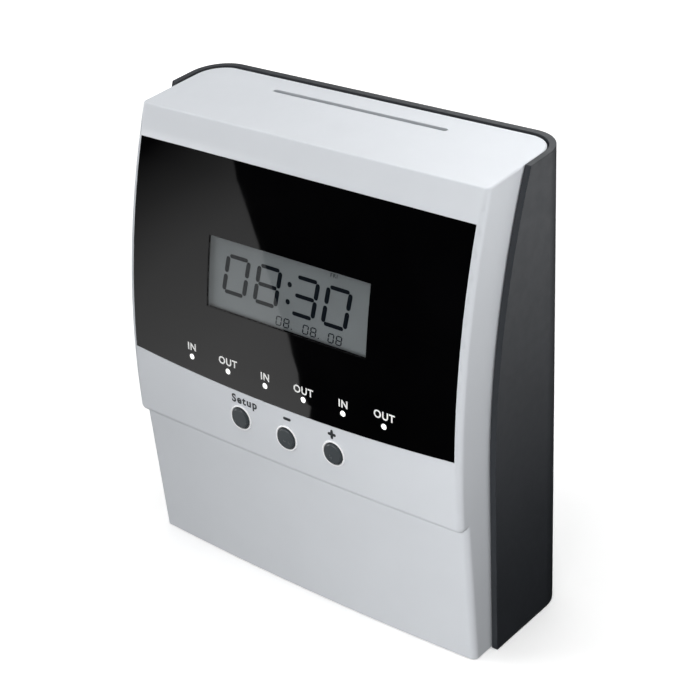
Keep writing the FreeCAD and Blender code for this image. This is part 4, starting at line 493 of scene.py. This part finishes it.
def panel_arc():
    """Circle of the panel's front, through a low, a middle and the highest front vertex."""
    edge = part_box("display_panel")[1].x - PANEL_EDGE_BAND
    rows = {}
    for vertex in NODES["display_panel"].data.vertices:
        if abs(vertex.co.x) > edge:
            rows.setdefault(round(vertex.co.z, 4), []).append(vertex.co.y)
    fronts = sorted((z, min(ys)) for z, ys in rows.items())
    points = [fronts[1], fronts[len(fronts) // 2], fronts[-1]]
    return circle_through(*[(y, z) for z, y in points])


ARC_Y, ARC_Z, ARC_RADIUS = panel_arc()


def on_panel(u, v, lift):
    """A point on the panel's curved face."""
    radius = ARC_RADIUS + lift
    return Vector((u, ARC_Y - math.sqrt(radius ** 2 - (v - ARC_Z) ** 2), v))


PRINT = 0.04 * MM  # thickness of the printed words and marks
FIGURE = 0.05 * MM  # thickness of the display's figures
FIGURE_GAP = 0.02 * MM
BOLDER = 0.12 * MM

light_low, light_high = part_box("indicator_light_pipes")
LIGHT_SPAN = light_high.x - light_low.x
LIGHT_RADIUS = 1.3 * MM
WORD_LOW, WORD_RISE, WORD_ASIDE = 107.35, 0.30, 0.2
LIGHT_PITCH = (LIGHT_SPAN - 2 * LIGHT_RADIUS) / 5
for count in range(6):
    step = count - 2.5
    word = ("IN", "OUT")[count % 2]
    across = step * LIGHT_PITCH
    lettering(f"label_light_{count + 1}", word, 4.7 * MM, on_panel,
              (across + WORD_ASIDE * MM, (WORD_LOW + WORD_RISE * step * step) * MM), PRINT, "cover",
              WHITE_INK, spacing=1.12, bolder=BOLDER)


# ------------------------------------------------------------------ display figures
cell_centre, cell_normal = largest_face("lcd_glass", Vector((0, -1, 0)))
CELL_UP = Vector((0, cell_normal.z, -cell_normal.y))
FIGURES_HIGH = 0.1466  # height of the middle of the big figures
CELL_ZERO = cell_centre - CELL_UP * ((cell_centre.z - FIGURES_HIGH) / CELL_UP.z)
CELL_ZERO.x = 0.0


def on_cell(u, v, lift):
    """A point on the display glass; v is counted from the middle of the big figures."""
    return CELL_ZERO + Vector((u, 0, 0)) + CELL_UP * v + cell_normal * (lift + FIGURE_GAP)


BIG = {"wide": 11.3 * MM, "high": 15.9 * MM, "upright": 2.2 * MM, "level": 1.7 * MM,
       "slant": 0.145}
outlines = []
for figure, middle in (("0", -28.4), ("8", -11.1), ("3", 8.9), ("0", 25.7)):
    outlines += segment_digit(figure, middle * MM, 0, **BIG)
for offset, high in ((0.75, 3.6), (0.1, -3.9)):
    outlines.append(disc(offset * MM, high * MM, 1.15 * MM))
stamp("display_time", outlines, on_cell, FIGURE, "housing", LCD_INK)

SMALL = {"wide": 2.6 * MM, "high": 3.7 * MM, "upright": 0.6 * MM, "level": 0.5 * MM,
         "slant": 0.1}
outlines = []
for middle in (-4.2, -0.1, 10.2, 14.3, 23.6, 27.7):
    figure = "8" if middle in (-0.1, 14.3, 27.7) else "0"
    outlines += segment_digit(figure, middle * MM, -13.3 * MM, **SMALL)
for middle in (2.7, 17.1):
    outlines.append(disc(middle * MM, -15.1 * MM, 0.32 * MM, 8))
stamp("display_date", outlines, on_cell, FIGURE, "housing", LCD_FAINT)
lettering("display_day", "FRI", 2.5 * MM, on_cell, (23.4 * MM, 13.0 * MM), FIGURE, "housing",
          LCD_FAINT, spacing=1.2)

# ------------------------------------------------------------------ button marks
COVER_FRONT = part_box("front_cover")[0].y


def on_cover(u, v, lift):
    """A point on the cover's front round the buttons."""
    return Vector((u, COVER_FRONT - lift + (0.0 if v < ARC_Z else
                   ARC_RADIUS - math.sqrt(ARC_RADIUS ** 2 - (v - ARC_Z) ** 2)), v))


MARK_STROKE = 1.35 * MM
lettering("label_setup", "Setup", 5.3 * MM, on_cover, (-23.1 * MM, 91.3 * MM), PRINT, "cover",
          DARK_INK, spacing=1.22, bolder=0.16 * MM)
stamp("label_minus", [bar((-0.5 * MM, 91.1 * MM), (2.4 * MM, 91.1 * MM), MARK_STROKE)],
      on_cover, PRINT, "cover", DARK_INK)
stamp("label_plus_level", [bar((23.9 * MM, 91.9 * MM), (26.9 * MM, 91.9 * MM), MARK_STROKE)],
      on_cover, PRINT, "cover", DARK_INK)
stamp("label_plus_upright", [bar((25.4 * MM, 90.4 * MM), (25.4 * MM, 93.4 * MM), MARK_STROKE)],
      on_cover, PRINT * 1.3, "cover", DARK_INK)


# ------------------------------------------------------------------ button rims, in near white as a painted highlight
RIM_RADIUS, RIM_BEAD = 5.55 * MM, 0.45 * MM
RIM_TURNS, RIM_SIDES = 48, 10


def rim(name, across, up):
    """Polished bead round a button hole, as a closed ring on the cover's front; its near-white
    colour is a painted highlight.
    """
    bm = bmesh.new()
    rings = []
    for i in range(RIM_TURNS):
        turn = 2 * math.pi * i / RIM_TURNS
        ring = []
        for j in range(RIM_SIDES):
            tilt = 2 * math.pi * j / RIM_SIDES
            reach = RIM_RADIUS + RIM_BEAD * math.cos(tilt)
            u, v = across + reach * math.cos(turn), up + reach * math.sin(turn)
            ring.append(bm.verts.new(on_cover(u, v, RIM_BEAD * math.sin(tilt))))
        rings.append(ring)
    for i, ring in enumerate(rings):
        after = rings[(i + 1) % RIM_TURNS]
        for j in range(RIM_SIDES):
            k = (j + 1) % RIM_SIDES
            bm.faces.new((ring[j], ring[k], after[k], after[j])).smooth = True
    bmesh.ops.recalc_face_normals(bm, faces=bm.faces)
    mesh = bpy.data.meshes.new(name)
    bm.to_mesh(mesh)
    bm.free()
    return piece(name, mesh, "cover", RIM)


for button in ("setup_button", "minus_button", "plus_button"):
    low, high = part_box(button)
    rim(f"rim_{button}", (low.x + high.x) / 2, (low.z + high.z) / 2)


# ------------------------------------------------------------------ studio
def sheet_of(name, corners, material):
    mesh = bpy.data.meshes.new(name)
    mesh.from_pydata([tuple(c) for c in corners], [], [tuple(range(len(corners)))])
    mesh.update()
    mesh.materials.append(material)
    item = bpy.data.objects.new(name, mesh)
    bpy.context.scene.collection.objects.link(item)
    return item


FLOOR_GLOW_NEAR, FLOOR_GLOW_FAR = 0.35, 1.0
FLOOR_FADE = (0.3, 1.1)


def floor_material():
    """Pale sheet that takes a soft shadow nearby and goes over to plain white far away."""
    n = Nodes("pale_floor")
    distance = n.add("ShaderNodeVectorMath", {0: n.place()},
                     operation="LENGTH").outputs["Value"]
    glow = n.spread(distance, FLOOR_GLOW_NEAR, FLOOR_GLOW_FAR, *FLOOR_FADE)
    n.set(Base_Color=n.blend(n.spread(n.noise(3.0), 0, 1), (0.86, 0.86, 0.86),
                             (0.88, 0.88, 0.88)),
          Roughness=0.9, Emission_Color=(1, 1, 1, 1), Emission_Strength=glow)
    n.shader.inputs["Specular IOR Level"].default_value = 0.0
    return n.material


def glow_material(name, direction, offset, stops, strength=1.0):
    """Emission that follows a ramp along one direction of the card."""
    n = Nodes(name)
    n.tree.nodes.remove(n.shader)
    along = n.add("ShaderNodeVectorMath", {0: n.place(), 1: direction},
                  operation="DOT_PRODUCT").outputs["Value"]
    share = n.add("ShaderNodeMath", {0: along, 1: offset}, operation="ADD").outputs[0]
    ramp = n.add("ShaderNodeValToRGB", {"Fac": share})
    elements = ramp.color_ramp.elements
    while len(elements) < len(stops):
        elements.new(0.5)
    for element, (position, value) in zip(elements, stops):
        element.position = position
        element.color = (value, value, value, 1)
    emission = n.add("ShaderNodeEmission", {"Color": ramp.outputs["Color"],
                                            "Strength": strength})
    n.tree.links.new(emission.outputs[0], n.output.inputs["Surface"])
    return n.material


def only_in_reflections(item):
    item.visible_camera = False
    item.visible_diffuse = False
    item.visible_shadow = False
    item.visible_transmission = False
    item.visible_volume_scatter = False


FLOOR_HALF, FLOOR_LEVEL = 4, -0.3 * MM
FLOOR = sheet_of("floor", [(x * FLOOR_HALF, y * FLOOR_HALF, FLOOR_LEVEL)
                           for x, y in ((-1, -1), (1, -1), (1, 1), (-1, 1))],
                 floor_material())
FLOOR.visible_glossy = False
FLOOR.visible_diffuse = False
FLOOR.visible_transmission = False

# The softbox whose edge crosses the glossy panel.
CARD_Y, CARD_FAR, CARD_LOW, CARD_HIGH, CARD_STEPS = -1.2, -2.2, -1.0, 0.6, 32


def card_edge(z):
    """Bend of the softbox edge that the curved panel shows as a nearly straight line."""
    return -0.9693 - 0.1639 * z - 0.3285 * z ** 2 - 0.068 * z ** 3


rises = [CARD_HIGH + (CARD_LOW - CARD_HIGH) * k / CARD_STEPS for k in range(CARD_STEPS + 1)]
card = [(card_edge(z), CARD_Y, z) for z in rises]
card += [(CARD_FAR, CARD_Y, CARD_LOW), (CARD_FAR, CARD_Y, CARD_HIGH)]
CARD_GLOW_ALONG, CARD_GLOW_OFFSET = (0.659, 0, -0.289), 1.1775
CARD_GLOW = [(0.29, 0.0), (0.38, 0.30), (0.42, 0.48), (0.465, 0.66), (0.60, 0.90)]
CARD = sheet_of("softbox_front", card,
                glow_material("softbox_front", CARD_GLOW_ALONG, CARD_GLOW_OFFSET, CARD_GLOW))
only_in_reflections(CARD)

# A graded card lying to the right, which the dark side shows more strongly near its top.
SIDE = sheet_of("softbox_side", [(0.12, -0.3, -0.001), (1.4, -0.3, -0.001),
                                 (1.4, 1.4, -0.001), (0.12, 1.4, -0.001)],
                glow_material("softbox_side", (1, 0, 0), 0.0,
                              [(0.15, 0.0), (0.24, 0.2), (0.38, 0.9), (0.5, 1.0)], 1.9))
only_in_reflections(SIDE)

# A small strong card at the left, seen only as highlights on rounded edges.
LEFT = sheet_of("softbox_left", [(-1.2, -0.45, 0.1), (-1.2, 0.2, 0.1), (-1.2, 0.2, 0.45),
                                 (-1.2, -0.45, 0.45)],
                glow_material("softbox_left", (0, 0, 1), 0.0, [(0.0, 0.7), (0.5, 1.0)], 7.0))
only_in_reflections(LEFT)

LAMPS = {
    "top": {"at": (-0.12, 0.0, 1.2), "to": (0, 0, 0.1), "size": 0.8, "watts": 8.4},
    "left": {"at": (-1.3, -0.9, 0.7), "to": (0, 0, 0.1), "size": 0.8, "watts": 12.0},
    "front": {"at": (0, -1.4, 0.35), "to": (0, 0, 0.1), "size": 0.8, "watts": 2.6},
    "side": {"at": (0.30, 0.02, 0.36), "to": (0.093, 0, 0.17), "size": 0.15, "watts": 0.55},
    "foot": {"at": (0.22, -0.36, 0.03), "to": (0.07, -0.03, 0.03), "size": 0.15, "watts": 1.15},
    "back": {"at": (-0.5, 1.2, 0.9), "to": (0, 0, 0.1), "size": 0.8, "watts": 3.0},
}
for lamp_name, lamp in LAMPS.items():
    data = bpy.data.lights.new(lamp_name, "AREA")
    data.shape = "SQUARE"
    data.size = lamp["size"]
    data.energy = lamp["watts"]
    item = bpy.data.objects.new(lamp_name, data)
    item.location = lamp["at"]
    item.rotation_mode = "QUATERNION"
    aim = Vector(lamp["to"]) - Vector(lamp["at"])
    item.rotation_quaternion = aim.to_track_quat("-Z", "Y")
    item.visible_camera = False
    item.visible_transmission = False
    item.visible_glossy = lamp_name in ("top", "back")
    bpy.context.scene.collection.objects.link(item)

WORLD_DIFFUSE_LOW, WORLD_DIFFUSE_HIGH = 0.19, 0.0
WORLD_GLOSS_HIGH = 0.3


def make_world():
    """White to the camera, soft and graded for lighting, dark below for reflections."""
    world = bpy.data.worlds.new("studio")
    bpy.context.scene.world = world
    world.use_nodes = True
    tree = world.node_tree
    tree.nodes.clear()
    new, link = tree.nodes.new, tree.links.new
    path = new("ShaderNodeLightPath")
    split = new("ShaderNodeSeparateXYZ")
    link(new("ShaderNodeTexCoord").outputs["Generated"], split.inputs[0])

    def ramp(low, high, start, end):
        node = new("ShaderNodeMapRange")
        node.inputs["From Min"].default_value, node.inputs["From Max"].default_value = start, end
        node.inputs["To Min"].default_value, node.inputs["To Max"].default_value = low, high
        link(split.outputs["Z"], node.inputs["Value"])
        back = new("ShaderNodeBackground")
        link(node.outputs["Result"], back.inputs["Strength"])
        return back

    soft = ramp(WORLD_DIFFUSE_LOW, WORLD_DIFFUSE_HIGH, -0.3, 0.6)
    gloss = ramp(0.0, WORLD_GLOSS_HIGH, 0.2, 0.6)
    white = new("ShaderNodeBackground")
    white.inputs["Color"].default_value = (1, 1, 1, 1)
    inner = new("ShaderNodeMixShader")
    link(path.outputs["Is Glossy Ray"], inner.inputs["Fac"])
    link(soft.outputs[0], inner.inputs[1])
    link(gloss.outputs[0], inner.inputs[2])
    outer = new("ShaderNodeMixShader")
    link(path.outputs["Is Camera Ray"], outer.inputs["Fac"])
    link(inner.outputs[0], outer.inputs[1])
    link(white.outputs[0], outer.inputs[2])
    link(outer.outputs[0], new("ShaderNodeOutputWorld").inputs["Surface"])


make_world()
bpy.context.scene.view_settings.view_transform = "Standard"
